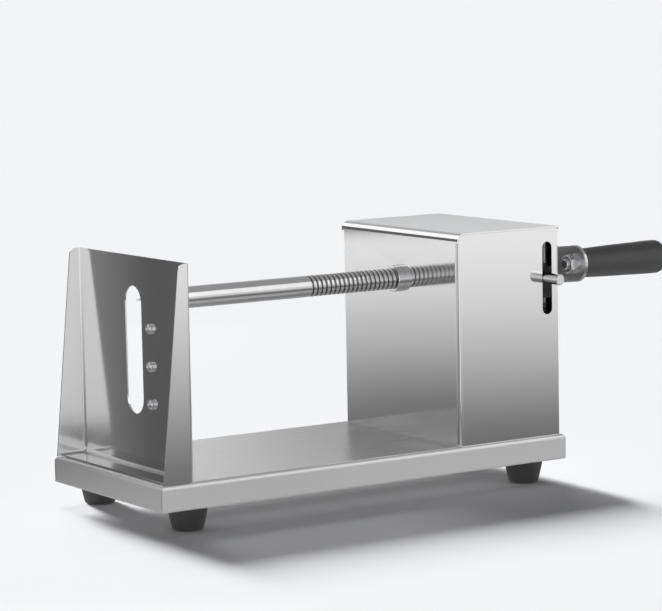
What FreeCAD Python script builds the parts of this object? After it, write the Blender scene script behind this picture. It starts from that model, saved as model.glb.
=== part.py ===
import FreeCAD, Part
import math
import os
import Sketcher

# Hand cranked tornado potato cutter, in millimetres.
# Row frame: +X runs from the blade bracket to the crank, +Z is up, and the origin lies on the
# floor under the middle of the whole cutter.
# Pieces of the stand are drawn from the left end of the base, its middle line and its top face.

FORWARD = FreeCAD.Vector(1, 0, 0)
SIDEWAYS = FreeCAD.Vector(0, 1, 0)
UPWARD = FreeCAD.Vector(0, 0, 1)

doc = FreeCAD.newDocument("potato_cutter")
sheet = doc.addObject("Spreadsheet::Sheet", "sizes")
pieces = []


class Size:
    """A number together with the sheet formula that gives it."""

    def __init__(self, value, formula):
        self.value = float(value)
        self.formula = formula

    def __add__(self, other):
        other = size(other)
        return Size(self.value + other.value, f"({self.formula} + {other.formula})")

    def __radd__(self, other):
        return size(other) + self

    def __sub__(self, other):
        other = size(other)
        return Size(self.value - other.value, f"({self.formula} - {other.formula})")

    def __rsub__(self, other):
        return size(other) - self

    def __mul__(self, other):
        other = size(other)
        return Size(self.value * other.value, f"({self.formula} * {other.formula})")

    def __rmul__(self, other):
        return size(other) * self

    def __truediv__(self, other):
        other = size(other)
        return Size(self.value / other.value, f"({self.formula} / {other.formula})")

    def __neg__(self):
        return Size(-self.value, f"(0 - {self.formula})")


def size(number):
    """Turns a plain number into a Size, and leaves a Size as it is."""
    if isinstance(number, Size):
        return number
    return Size(number, f"({number})")


def cosine(angle):
    return Size(math.cos(math.radians(angle.value)), f"cos({angle.formula})")


def sine(angle):
    return Size(math.sin(math.radians(angle.value)), f"sin({angle.formula})")


def cell(name, value):
    """Writes one driving dimension in the sheet and returns it as a Size."""
    row = len(sheet.getUsedCells()) // 2 + 1
    sheet.set(f"A{row}", name)
    sheet.set(f"B{row}", str(value))
    sheet.setAlias(f"B{row}", name)
    return Size(value, f"sizes.{name}")


# Driving dimensions of the base pan and its feet
base_length = cell("base_length", 356)
base_width = cell("base_width", 162)
base_sheet = cell("base_sheet", 1.2)
skirt_height = cell("skirt_height", 19.5)
base_bend = cell("base_bend", 3.5)
lip_bend = cell("lip_bend", 1.5)
side_lip = cell("side_lip", 33)
end_lip = cell("end_lip", 9)
corner_seam = cell("corner_seam", 0.5)
foot_height = cell("foot_height", 16.6)
foot_top = cell("foot_top", 29.6)
foot_bottom = cell("foot_bottom", 22.5)
foot_inset_x = cell("foot_inset_x", 29)
foot_inset_y = cell("foot_inset_y", 15.8)
foot_recess = cell("foot_recess", 12)
foot_recess_depth = cell("foot_recess_depth", 8)
foot_round = cell("foot_round", 2.5)

# Driving dimensions of the blade bracket and the blade
bracket_sheet = cell("bracket_sheet", 1.2)
bracket_inset = cell("bracket_inset", 0.5)
bracket_height = cell("bracket_height", 155)
bracket_bend = cell("bracket_bend", 3)
plate_place = cell("plate_place", 26.7)
flange_foot_place = cell("flange_foot_place", 1.8)
flange_top_place = cell("flange_top_place", 17.6)
flange_round = cell("flange_round", 5.5)
slit_width = cell("slit_width", 24)
slit_low = cell("slit_low", 39.5)
blade_sheet = cell("blade_sheet", 1)
blade_low = cell("blade_low", 40)
blade_high = cell("blade_high", 114)
blade_fix_y = cell("blade_fix_y", 25)
blade_fix_low = cell("blade_fix_low", 48.9)
blade_fix_step = cell("blade_fix_step", 27.4)
blade_foot = cell("blade_foot", 14)
blade_edge = cell("blade_edge", 8)
blade_bevel = cell("blade_bevel", 2)
blade_fix_count = 3

# Driving dimensions of the housing
housing_inset = cell("housing_inset", 3)
housing_rear_inset = cell("housing_rear_inset", 2)
housing_length = cell("housing_length", 95.5)
housing_height = cell("housing_height", 160)
housing_sheet = cell("housing_sheet", 1.2)
housing_bend = cell("housing_bend", 6)
housing_rear_bend = cell("housing_rear_bend", 1.4)
panel_bend = cell("panel_bend", 2.6)
panel_rear_bend = cell("panel_rear_bend", 1.6)
panel_flange = cell("panel_flange", 12)
flange_screw_inset = cell("flange_screw_inset", 18)
seam_gap = cell("seam_gap", 0.8)
pin_slot_width = cell("pin_slot_width", 9)
pin_slot_length = cell("pin_slot_length", 55.6)
pin_place = cell("pin_place", 12)

# Driving dimensions of the feed shaft and its bushes
axis_height = cell("axis_height", 120.9)
shaft_diameter = cell("shaft_diameter", 16)
running_fit = cell("running_fit", 0.05)
thread_start = cell("thread_start", 176)
thread_pitch = cell("thread_pitch", 4)
thread_depth = cell("thread_depth", 0.8)
thread_mouth = cell("thread_mouth", 1.7)
thread_root = cell("thread_root", 0.8)
crank_tapping = cell("crank_tapping", 15)
skewer_bore = cell("skewer_bore", 7)
skewer_depth = cell("skewer_depth", 250)
bush_wall = cell("bush_wall", 2)
front_bush_nose = cell("front_bush_nose", 6)
rear_bush_nose = cell("rear_bush_nose", 3)
bush_flange = cell("bush_flange", 28)
bush_flange_thick = cell("bush_flange_thick", 2.4)
bush_tail = cell("bush_tail", 12)
bush_bevel = cell("bush_bevel", 0.5)

# Driving dimensions of the half nut and its slide
nut_length = cell("nut_length", 30)
nut_outer = cell("nut_outer", 26)
nut_setback = cell("nut_setback", 30.5)
nut_split = cell("nut_split", 0.5)
nut_tapping = cell("nut_tapping", 3)
nut_screw_spacing = cell("nut_screw_spacing", 15)
block_length = cell("block_length", 49)
block_side_gap = cell("block_side_gap", 1)
block_arm = cell("block_arm", 20)
block_body = cell("block_body", 30)
block_below = cell("block_below", 17)
block_above = cell("block_above", 7)
block_wall_gap = cell("block_wall_gap", 0.3)
notch_depth = cell("notch_depth", 6)
notch_room = cell("notch_room", 2)
post_diameter = cell("post_diameter", 8)
post_foot = cell("post_foot", 12)
post_foot_height = cell("post_foot_height", 62)
post_edge = cell("post_edge", 20)
post_setback = cell("post_setback", 10)
bridge_height = cell("bridge_height", 146)
bridge_sheet = cell("bridge_sheet", 3)
bridge_depth = cell("bridge_depth", 16)
bridge_overhang = cell("bridge_overhang", 8)
spring_wire = cell("spring_wire", 1.2)
spring_seat_gap = cell("spring_seat_gap", 0.1)
spring_turns = cell("spring_turns", 8)
pin_diameter = cell("pin_diameter", 8.5)
pin_reach = cell("pin_reach", 16.5)
pin_stub = cell("pin_stub", 6)
pin_stub_length = cell("pin_stub_length", 13)
pin_bevel = cell("pin_bevel", 0.7)

# Driving dimensions of the fork that pushes the work
fork_place = cell("fork_place", 48)
fork_diameter = cell("fork_diameter", 29)
fork_thick = cell("fork_thick", 3)
fork_hub = cell("fork_hub", 19)
fork_hub_length = cell("fork_hub_length", 11)
journal_diameter = cell("journal_diameter", 12)
prong_diameter = cell("prong_diameter", 3)
prong_length = cell("prong_length", 14)
prong_circle = cell("prong_circle", 20)
prong_taper = cell("prong_taper", 7)
prong_tip = cell("prong_tip", 0.5)
prong_count = 4

# Driving dimensions of the crank and its grip
washer_gap = cell("washer_gap", 0.1)
thrust_thick = cell("thrust_thick", 2)
thrust_diameter = cell("thrust_diameter", 22)
hub_diameter = cell("hub_diameter", 24)
hub_length = cell("hub_length", 10.8)
hub_bevel = cell("hub_bevel", 1)
hub_screw_sink = cell("hub_screw_sink", 0.5)
arm_thick = cell("arm_thick", 3)
arm_width = cell("arm_width", 28)
arm_edge = cell("arm_edge", 0.4)
crank_radius = cell("crank_radius", 76)
crank_angle = cell("crank_angle", 6.6)
grip_length = cell("grip_length", 80)
grip_small = cell("grip_small", 22)
grip_large = cell("grip_large", 25.8)
grip_round = cell("grip_round", 5)
grip_spindle = cell("grip_spindle", 9)
grip_gap = cell("grip_gap", 0.5)
grip_inner_round = cell("grip_inner_round", 1.5)
grip_taper_length = cell("grip_taper_length", 65.6)
grip_pocket = cell("grip_pocket", 9)
spindle_head = cell("spindle_head", 13.4)
spindle_head_high = cell("spindle_head_high", 5)
spindle_head_gap = cell("spindle_head_gap", 0.4)
spindle_end_gap = cell("spindle_end_gap", 0.3)
spindle_spare = cell("spindle_spare", 1.8)
spindle_bevel = cell("spindle_bevel", 0.8)
spindle_key = cell("spindle_key", 6)
spindle_key_depth = cell("spindle_key_depth", 3)

# Standard fasteners
m4 = cell("m4_screw", 4)
m4_head = cell("m4_head", 7.6)
m4_head_high = cell("m4_head_high", 3)
m4_nut_flats = cell("m4_nut_flats", 7)
m4_nut_high = cell("m4_nut_high", 3.2)
m5 = cell("m5_screw", 5)
m5_head = cell("m5_head", 9)
m5_head_high = cell("m5_head_high", 3.5)
m5_nut_flats = cell("m5_nut_flats", 8)
m5_nut_high = cell("m5_nut_high", 4)
m6 = cell("m6_screw", 6)
m6_nut_flats = cell("m6_nut_flats", 10)
m6_nut_high = cell("m6_nut_high", 5)
m8 = cell("m8_screw", 8)
m8_nut_flats = cell("m8_nut_flats", 13)
m8_nut_high = cell("m8_nut_high", 6.5)
bolt_clear = cell("bolt_clear", 0.2)
screw_spare = cell("screw_spare", 2)
short_spare = cell("short_spare", 1)
screw_dome = cell("screw_dome", 1)
blade_screw_dome = cell("blade_screw_dome", 1.8)
drive_length_share = cell("drive_length_share", 0.5)
drive_width_share = cell("drive_width_share", 0.14)
drive_depth_share = cell("drive_depth_share", 0.33)
washer_thick = cell("washer_thick", 1.2)
m6_washer = cell("m6_washer", 12)
m8_washer = cell("m8_washer", 16)
crank_bolt_head = cell("crank_bolt_head", 4)
crank_bolt_reach = cell("crank_bolt_reach", 12)

# Cutting tools run this far past the faces they cut
overcut = cell("overcut", 1)

# Places that follow from the driving dimensions
housing_rear = base_length - housing_rear_inset
housing_front = housing_rear - housing_length
housing_half = base_width / 2 - housing_inset
panel_front = housing_front + housing_sheet + washer_gap
panel_rear = housing_rear - housing_sheet - washer_gap
panel_top = housing_height - housing_sheet - washer_gap
wall_inside_front = housing_front + housing_sheet
wall_inside_rear = housing_rear - housing_sheet
pin_x = housing_rear - pin_place
thrust_place = housing_rear + rear_bush_nose + washer_gap
hub_place = thrust_place + thrust_thick + washer_gap
arm_place = hub_place + hub_length
grip_place = arm_place + arm_thick + grip_gap
overall_length = grip_place + grip_length
left_end = -overall_length / 2
base_top = foot_height + skirt_height
axis_z = base_top + axis_height
grip_y = -crank_radius * cosine(crank_angle)
grip_z = axis_z + crank_radius * sine(crank_angle)
bush_diameter = shaft_diameter + 2 * running_fit + 2 * bush_wall
block_rear = wall_inside_rear - block_wall_gap
post_x = block_rear - post_setback
block_half_width = housing_half - panel_flange - block_side_gap
post_y = block_half_width - post_edge
nut_x = block_rear - nut_setback
foot_places = [
    (foot_inset_x, -base_width / 2 + foot_inset_y),
    (foot_inset_x, base_width / 2 - foot_inset_y),
    (base_length - foot_inset_x, -base_width / 2 + foot_inset_y),
    (base_length - foot_inset_x, base_width / 2 - foot_inset_y),
]
foot_names = ["foot_front_near", "foot_front_far", "foot_rear_near", "foot_rear_far"]
bracket_stud_x = plate_place / 2
bracket_width = base_width - 2 * bracket_inset
bracket_stud_y = bracket_width / 4
flange_screw_y = housing_half - panel_flange / 2 - housing_sheet / 2
flange_screw_xs = [panel_front + flange_screw_inset, panel_rear - flange_screw_inset]


def tie(sketch, curve, point, axis, target):
    """Holds one point of a curve at its sheet size from the sketch's origin."""
    target = size(target)
    if target.value == 0:
        across = -2 if axis == "X" else -1
        sketch.addConstraint(Sketcher.Constraint("PointOnObject", curve, point, across))
        return
    if target.value > 0:
        ends = (-1, 1, curve, point)
    else:
        ends = (curve, point, -1, 1)
        target = -target
    index = sketch.addConstraint(Sketcher.Constraint(f"Distance{axis}", *ends, target.value))
    sketch.setExpression(f"Constraints[{index}]", target.formula)


def draw_outline(sketch, corners):
    """Draws a closed outline through corners that are held by the sheet."""
    corners = [(size(across), size(along)) for across, along in corners]
    points = [FreeCAD.Vector(across.value, along.value, 0) for across, along in corners]
    first = sketch.GeometryCount
    for index, point in enumerate(points):
        following = points[(index + 1) % len(points)]
        sketch.addGeometry(Part.LineSegment(point, following), False)
    for index in range(len(points)):
        following = first + (index + 1) % len(points)
        sketch.addConstraint(Sketcher.Constraint("Coincident", first + index, 2, following, 1))
    for index, (across, along) in enumerate(corners):
        tie(sketch, first + index, 1, "X", across)
        tie(sketch, first + index, 1, "Y", along)


def draw_rectangle(sketch, low_across, low_along, high_across, high_along):
    draw_outline(sketch, [(low_across, low_along), (high_across, low_along),
                          (high_across, high_along), (low_across, high_along)])


def draw_circle(sketch, across, along, diameter):
    """Draws a circle whose centre and radius are held by the sheet."""
    across = size(across)
    along = size(along)
    radius = size(diameter) / 2
    centre = FreeCAD.Vector(across.value, along.value, 0)
    circle = sketch.addGeometry(Part.Circle(centre, UPWARD, radius.value), False)
    tie(sketch, circle, 3, "X", across)
    tie(sketch, circle, 3, "Y", along)
    index = sketch.addConstraint(Sketcher.Constraint("Radius", circle, radius.value))
    sketch.setExpression(f"Constraints[{index}]", radius.formula)


def draw_hexagon(sketch, flats):
    """Draws a hexagon about the sketch's origin, with two corners on its vertical axis."""
    half = flats / 2
    corner = half / cosine(Size(30, "30"))
    draw_outline(sketch, [(0, corner), (half, corner / 2), (half, -corner / 2),
                          (0, -corner), (-half, -corner / 2), (-half, corner / 2)])


def draw_slot(sketch, start, end, width, upright):
    """Draws a round-ended slot whose end centres and width are held by the sheet."""
    start = (size(start[0]), size(start[1]))
    end = (size(end[0]), size(end[1]))
    radius = size(width) / 2
    first_centre = FreeCAD.Vector(start[0].value, start[1].value, 0)
    second_centre = FreeCAD.Vector(end[0].value, end[1].value, 0)
    turn = 0 if upright else -math.pi / 2
    side = FreeCAD.Vector(radius.value, 0, 0) if upright else FreeCAD.Vector(0, -radius.value, 0)
    first_arc = Part.ArcOfCircle(Part.Circle(first_centre, UPWARD, radius.value),
                                 turn + math.pi, turn + 2 * math.pi)
    second_arc = Part.ArcOfCircle(Part.Circle(second_centre, UPWARD, radius.value),
                                  turn, turn + math.pi)
    low_arc = sketch.addGeometry(first_arc, False)
    high_arc = sketch.addGeometry(second_arc, False)
    right_line = sketch.addGeometry(Part.LineSegment(first_centre + side, second_centre + side), False)
    left_line = sketch.addGeometry(Part.LineSegment(second_centre - side, first_centre - side), False)
    sketch.addConstraint(Sketcher.Constraint("Tangent", low_arc, 2, right_line, 1))
    sketch.addConstraint(Sketcher.Constraint("Tangent", right_line, 2, high_arc, 1))
    sketch.addConstraint(Sketcher.Constraint("Tangent", high_arc, 2, left_line, 1))
    sketch.addConstraint(Sketcher.Constraint("Tangent", left_line, 2, low_arc, 1))
    sketch.addConstraint(Sketcher.Constraint("Equal", low_arc, high_arc))
    for arc, centre in ((low_arc, start), (high_arc, end)):
        tie(sketch, arc, 3, "X", centre[0])
        tie(sketch, arc, 3, "Y", centre[1])
    index = sketch.addConstraint(Sketcher.Constraint("Radius", low_arc, radius.value))
    sketch.setExpression(f"Constraints[{index}]", radius.formula)


def draw_corner_waste(sketch, across, along, radius):
    """Draws what a rounding takes off the front upper corner of a side."""
    far_across = across + radius
    low_along = along - radius
    corner = FreeCAD.Vector(across.value, along.value, 0)
    on_top = FreeCAD.Vector(far_across.value, along.value, 0)
    on_side = FreeCAD.Vector(across.value, low_along.value, 0)
    centre = FreeCAD.Vector(far_across.value, low_along.value, 0)
    top_line = sketch.addGeometry(Part.LineSegment(corner, on_top), False)
    side_line = sketch.addGeometry(Part.LineSegment(on_side, corner), False)
    circle = Part.Circle(centre, UPWARD, radius.value)
    arc = sketch.addGeometry(Part.ArcOfCircle(circle, math.pi / 2, math.pi), False)
    sketch.addConstraint(Sketcher.Constraint("Coincident", side_line, 2, top_line, 1))
    sketch.addConstraint(Sketcher.Constraint("Coincident", top_line, 2, arc, 1))
    sketch.addConstraint(Sketcher.Constraint("Coincident", side_line, 1, arc, 2))
    for curve, x, y in ((top_line, across, along), (side_line, across, low_along)):
        tie(sketch, curve, 1, "X", x)
        tie(sketch, curve, 1, "Y", y)
    tie(sketch, top_line, 2, "X", far_across)
    tie(sketch, top_line, 2, "Y", along)
    index = sketch.addConstraint(Sketcher.Constraint("Radius", arc, radius.value))
    sketch.setExpression(f"Constraints[{index}]", radius.formula)


def new_body(label):
    body = doc.addObject("PartDesign::Body", label)
    body.Label = label
    return body


def new_sketch(body, role, offset=0):
    """Attaches a sketch to one of the body's own origin planes."""
    plane = [part for part in body.Origin.OriginFeatures if part.Role == role][0]
    sketch = body.newObject("Sketcher::SketchObject", f"{body.Name}_sketch")
    sketch.AttachmentSupport = [(plane, "")]
    sketch.MapMode = "FlatFace"
    offset = size(offset)
    if offset.value != 0:
        sketch.setExpression("AttachmentOffset.Base.z", offset.formula)
    return sketch


def pad(body, sketch, length, both=False, back=False):
    """Adds material along the sketch's normal, to both sides, or against the normal."""
    feature = body.newObject("PartDesign::Pad", f"{body.Name}_pad")
    feature.Profile = sketch
    feature.setExpression("Length", size(length).formula)
    if both:
        feature.SideType = "Symmetric"
    feature.Reversed = back
    return feature


def pocket(body, sketch, length=None, back=False):
    """Cuts right through both ways, or to a stated depth behind the sketch."""
    doc.recompute()
    before = body.Shape.Volume
    feature = body.newObject("PartDesign::Pocket", f"{body.Name}_pocket")
    feature.Profile = sketch
    if length is None:
        feature.Type = "ThroughAll"
        feature.SideType = "Symmetric"
    else:
        feature.setExpression("Length", size(length).formula)
    feature.Reversed = back
    doc.recompute()
    if body.Shape.Volume >= before:
        raise RuntimeError(f"A cut in {body.Label} misses its solid")
    return feature


def turn_profile(body, corners):
    """Turns an outline of (radius, height) corners about the body's own Z axis."""
    sketch = new_sketch(body, "XZ_Plane")
    draw_outline(sketch, corners)
    feature = body.newObject("PartDesign::Revolution", f"{body.Name}_turning")
    feature.Profile = sketch
    feature.ReferenceAxis = (sketch, ["V_Axis"])
    feature.Angle = 360
    return feature


def edges_where(body, x=None, y=None, z=None):
    """Names the body's edges whose ends and middle all lie at the given coordinates."""
    doc.recompute()
    names = []
    for index, edge in enumerate(body.Shape.Edges):
        middle = edge.valueAt((edge.FirstParameter + edge.LastParameter) / 2)
        points = [vertex.Point for vertex in edge.Vertexes] + [middle]
        fits = True
        for wanted, axis in ((x, "x"), (y, "y"), (z, "z")):
            if wanted is None:
                continue
            for point in points:
                if abs(getattr(point, axis) - size(wanted).value) > 0.001:
                    fits = False
        if fits:
            names.append(f"Edge{index + 1}")
    return names


def round_edges(body, radius, names):
    """Rounds the named edges of the body's last feature."""
    feature = body.newObject("PartDesign::Fillet", f"{body.Name}_rounding")
    feature.Base = (body.Group[-2], names)
    feature.setExpression("Radius", size(radius).formula)
    doc.recompute()
    return feature


def bevel_edges(body, width, names):
    """Bevels the named edges of the body's last feature."""
    feature = body.newObject("PartDesign::Chamfer", f"{body.Name}_bevel")
    feature.Base = (body.Group[-2], names)
    feature.setExpression("Size", size(width).formula)
    doc.recompute()
    return feature


def place(thing, x=0, y=0, z=0, turn_axis=UPWARD, turn=0):
    """Places an object by sheet formulas, after turning it about one axis."""
    turn = size(turn)
    thing.Placement = FreeCAD.Placement(FreeCAD.Vector(0, 0, 0), FreeCAD.Rotation(turn_axis, 1))
    thing.setExpression("Placement.Rotation.Angle", turn.formula)
    for axis, distance in (("x", x), ("y", y), ("z", z)):
        thing.setExpression(f"Placement.Base.{axis}", size(distance).formula)


def keep(thing):
    """Adds a finished piece to the list that is written out."""
    pieces.append(thing)


def keep_on_stand(body):
    """Keeps a piece that is drawn from the left end, middle line and top face of the base."""
    place(body, x=left_end, z=base_top)
    keep(body)


def keep_group(label, pattern, spots):
    """Keeps one piece made of copies of a body, each at (x, y, z, axis, turn)."""
    copies = []
    for x, y, z, turn_axis, turn in spots:
        link = doc.addObject("App::Link", f"{label}_copy")
        link.LinkedObject = pattern
        place(link, x, y, z, turn_axis, turn)
        copies.append(link)
    group = doc.addObject("Part::Compound", label)
    group.Label = label
    group.Links = copies
    keep(group)


def hexagon_nut(label, flats, height, bore):
    """One plain hexagon nut that stands on its lower face."""
    body = new_body(label)
    sketch = new_sketch(body, "XY_Plane")
    draw_hexagon(sketch, flats)
    draw_circle(sketch, 0, 0, bore)
    pad(body, sketch, height)
    return body


def plain_washer(label, bolt, outer):
    """One plain washer that stands on its lower face."""
    body = new_body(label)
    bore = (bolt + bolt_clear) / 2
    turn_profile(body, [(bore, 0), (outer / 2, 0), (outer / 2, washer_thick), (bore, washer_thick)])
    return body


def headed_screw(label, shank, length, head, head_high, dome):
    """One screw with its head above its own origin and its shank below."""
    body = new_body(label)
    turn_profile(body, [(0, -length), (shank / 2, -length), (shank / 2, 0),
                        (head / 2, 0), (head / 2, head_high), (0, head_high)])
    round_edges(body, dome, edges_where(body, z=head_high))
    sketch = new_sketch(body, "XY_Plane", head_high)
    half_length = head * drive_length_share / 2
    half_width = head * drive_width_share / 2
    draw_rectangle(sketch, -half_length, -half_width, half_length, half_width)
    pocket(body, sketch, head_high * drive_depth_share)
    return body


def make_base_pan():
    """The bent sheet pan: a top, four skirts with butted corners and lips that carry the feet."""
    body = new_body("base_pan")
    half = base_width / 2
    sketch = new_sketch(body, "XY_Plane", -skirt_height)
    draw_rectangle(sketch, 0, -half, base_length, half)
    pad(body, sketch, skirt_height)
    round_edges(body, base_bend, edges_where(body, z=0))
    round_edges(body, lip_bend, edges_where(body, z=-skirt_height))
    hollow = body.newObject("PartDesign::SubtractiveBox", "base_hollow")
    hollow.setExpression("Length", (base_length - 2 * base_sheet).formula)
    hollow.setExpression("Width", (base_width - 2 * base_sheet).formula)
    hollow.setExpression("Height", (skirt_height - 2 * base_sheet).formula)
    hollow.setExpression("Placement.Base.x", base_sheet.formula)
    hollow.setExpression("Placement.Base.y", (base_sheet - half).formula)
    hollow.setExpression("Placement.Base.z", (base_sheet - skirt_height).formula)
    round_edges(body, base_bend - base_sheet, edges_where(body, z=-base_sheet))
    round_edges(body, lip_bend - base_sheet, edges_where(body, z=base_sheet - skirt_height))
    sketch = new_sketch(body, "XY_Plane", -skirt_height / 2)
    draw_rectangle(sketch, end_lip, side_lip - half, base_length - end_lip, half - side_lip)
    pocket(body, sketch, skirt_height)
    sketch = new_sketch(body, "XY_Plane", -skirt_height / 2)
    for x, y in foot_places:
        draw_circle(sketch, x, y, m5 + bolt_clear)
    pocket(body, sketch, skirt_height)
    sketch = new_sketch(body, "XY_Plane", -skirt_height / 2)
    for side in (-1, 1):
        draw_circle(sketch, bracket_stud_x, side * bracket_stud_y, m4 + bolt_clear)
        draw_circle(sketch, post_x, side * post_y, m6 + bolt_clear)
        for x in flange_screw_xs:
            draw_circle(sketch, x, side * flange_screw_y, m4 + bolt_clear)
    pocket(body, sketch, skirt_height, back=True)
    sketch = new_sketch(body, "YZ_Plane")
    for side in (-1, 1):
        seam = side * (half - base_sheet)
        draw_rectangle(sketch, seam, lip_bend - skirt_height, seam - side * corner_seam, -base_bend)
    pocket(body, sketch)
    keep_on_stand(body)


def make_feet():
    """Four tapered rubber feet, each hollowed below for its screw."""
    for name, (x, y) in zip(foot_names, foot_places):
        body = new_body(name)
        turn_profile(body, [
            (m5 / 2 + bolt_clear / 2, foot_recess_depth),
            (foot_recess / 2, foot_recess_depth),
            (foot_recess / 2, 0),
            (foot_bottom / 2, 0),
            (foot_top / 2, foot_height),
            (m5 / 2 + bolt_clear / 2, foot_height),
        ])
        round_edges(body, foot_round, edges_where(body, z=0)[-1:])
        place(body, x=left_end + x, y=y)
        keep(body)
    length = foot_height - foot_recess_depth + base_sheet + m5_nut_high + screw_spare
    screw = headed_screw("foot_screw", m5, length, m5_head, m5_head_high, screw_dome)
    nut = hexagon_nut("foot_nut", m5_nut_flats, m5_nut_high, m5)
    spots = []
    nut_spots = []
    for x, y in foot_places:
        spots.append((left_end + x, y, foot_recess_depth, FORWARD, 180))
        nut_spots.append((left_end + x, y, foot_height + base_sheet, UPWARD, 0))
    keep_group("foot_screws", screw, spots)
    keep_group("foot_nuts", nut, nut_spots)


def make_bracket():
    """The blade bracket: an upright plate with tapered side flanges and a foot flange."""
    body = new_body("blade_bracket")
    half = bracket_width / 2
    plate_front = plate_place - bracket_sheet
    sketch = new_sketch(body, "XY_Plane")
    draw_outline(sketch, [
        (flange_foot_place, -half),
        (plate_place, -half),
        (plate_place, half),
        (flange_foot_place, half),
        (flange_foot_place, half - bracket_sheet),
        (plate_front, half - bracket_sheet),
        (plate_front, bracket_sheet - half),
        (flange_foot_place, bracket_sheet - half),
    ])
    pad(body, sketch, bracket_height)
    sketch = new_sketch(body, "XY_Plane")
    draw_rectangle(sketch, flange_foot_place + bracket_bend, bracket_sheet - half,
                   plate_front, half - bracket_sheet)
    pad(body, sketch, bracket_sheet)
    sketch = new_sketch(body, "XY_Plane")
    for side in (-1, 1):
        draw_circle(sketch, bracket_stud_x, side * bracket_stud_y, m4)
    pad(body, sketch, base_sheet + m4_nut_high + screw_spare, back=True)
    inner = bracket_bend - bracket_sheet
    round_edges(body, inner + bracket_sheet, edges_where(body, x=plate_front, z=bracket_sheet))
    inner_edges = edges_where(body, x=plate_front, y=half - bracket_sheet)
    inner_edges = inner_edges + edges_where(body, x=plate_front, y=bracket_sheet - half)
    round_edges(body, inner, inner_edges)
    outer_edges = edges_where(body, x=plate_place, y=half) + edges_where(body, x=plate_place, y=-half)
    round_edges(body, bracket_bend, outer_edges)
    sketch = new_sketch(body, "XZ_Plane")
    draw_outline(sketch, [
        (flange_foot_place, 0),
        (flange_top_place, bracket_height),
        (flange_top_place, bracket_height + flange_round),
        (flange_foot_place - flange_round, bracket_height + flange_round),
        (flange_foot_place - flange_round, 0),
    ])
    pocket(body, sketch)
    round_edges(body, flange_round, edges_where(body, x=flange_top_place, z=bracket_height))
    sketch = new_sketch(body, "YZ_Plane")
    draw_slot(sketch, (0, slit_low + slit_width / 2), (0, axis_height), slit_width, True)
    pocket(body, sketch)
    sketch = new_sketch(body, "YZ_Plane")
    for step in range(blade_fix_count):
        draw_circle(sketch, -blade_fix_y, blade_fix_low + step * blade_fix_step, m4 + bolt_clear)
    pocket(body, sketch)
    keep_on_stand(body)
    nut = hexagon_nut("bracket_nut", m4_nut_flats, m4_nut_high, m4)
    spots = []
    for side in (-1, 1):
        spots.append((left_end + bracket_stud_x, side * bracket_stud_y,
                      base_top - base_sheet - m4_nut_high, UPWARD, 0))
    keep_group("bracket_nuts", nut, spots)


def make_blade():
    """The blade: a screwed foot, a ramp of one thread pitch and an edge over the slit."""
    body = new_body("blade")
    foot_end = -blade_fix_y + blade_foot / 2
    foot_start = -blade_fix_y - blade_foot / 2
    ramp_end = -slit_width / 2
    edge_tip = ramp_end + blade_edge
    lift = thread_pitch
    sketch = new_sketch(body, "XY_Plane", blade_low)
    draw_outline(sketch, [
        (plate_place, foot_start),
        (plate_place, foot_end),
        (plate_place + lift, ramp_end),
        (plate_place + lift, edge_tip),
        (plate_place + lift + blade_sheet, edge_tip - blade_bevel),
        (plate_place + lift + blade_sheet, ramp_end),
        (plate_place + blade_sheet, foot_end - blade_sheet),
        (plate_place + blade_sheet, foot_start),
    ])
    pad(body, sketch, blade_high - blade_low)
    sketch = new_sketch(body, "YZ_Plane")
    for step in range(blade_fix_count):
        draw_circle(sketch, -blade_fix_y, blade_fix_low + step * blade_fix_step, m4 + bolt_clear)
    pocket(body, sketch)
    keep_on_stand(body)
    length = bracket_sheet + blade_sheet + m4_nut_high + short_spare
    screw = headed_screw("blade_screw", m4, length, m4_head, m4_head_high, blade_screw_dome)
    nut = hexagon_nut("blade_nut", m4_nut_flats, m4_nut_high, m4)
    spots = []
    nut_spots = []
    for step in range(blade_fix_count):
        height = base_top + blade_fix_low + step * blade_fix_step
        spots.append((left_end + plate_place - bracket_sheet, -blade_fix_y, height, SIDEWAYS, -90))
        nut_spots.append((left_end + plate_place + blade_sheet, -blade_fix_y, height, SIDEWAYS, 90))
    keep_group("blade_screws", screw, spots)
    keep_group("blade_nuts", nut, nut_spots)


def make_housing_cover():
    """The housing's front wall, top and rear wall, bent from one sheet."""
    body = new_body("housing_cover")
    inside = housing_height - housing_sheet
    sketch = new_sketch(body, "XZ_Plane")
    draw_outline(sketch, [
        (housing_front, 0),
        (housing_front, housing_height),
        (housing_rear, housing_height),
        (housing_rear, 0),
        (wall_inside_rear, 0),
        (wall_inside_rear, inside),
        (wall_inside_front, inside),
        (wall_inside_front, 0),
    ])
    pad(body, sketch, 2 * housing_half, both=True)
    for outer, inner, bend, corner, rearward in (
            (housing_front, wall_inside_front, housing_bend, panel_bend, False),
            (housing_rear, wall_inside_rear, housing_rear_bend, panel_rear_bend, True)):
        round_edges(body, bend, edges_where(body, x=outer, z=housing_height))
        round_edges(body, bend - housing_sheet, edges_where(body, x=inner, z=inside))
        sketch = new_sketch(body, "YZ_Plane", inner)
        trim = housing_half - corner - seam_gap
        trim_top = housing_height - bend - housing_sheet
        for side in (-1, 1):
            draw_rectangle(sketch, side * trim, -overcut, side * (housing_half + overcut), trim_top)
        pocket(body, sketch, housing_sheet + overcut, back=rearward)
    sketch = new_sketch(body, "YZ_Plane")
    draw_circle(sketch, 0, axis_height, bush_diameter + bolt_clear)
    pocket(body, sketch)
    keep_on_stand(body)


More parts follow.
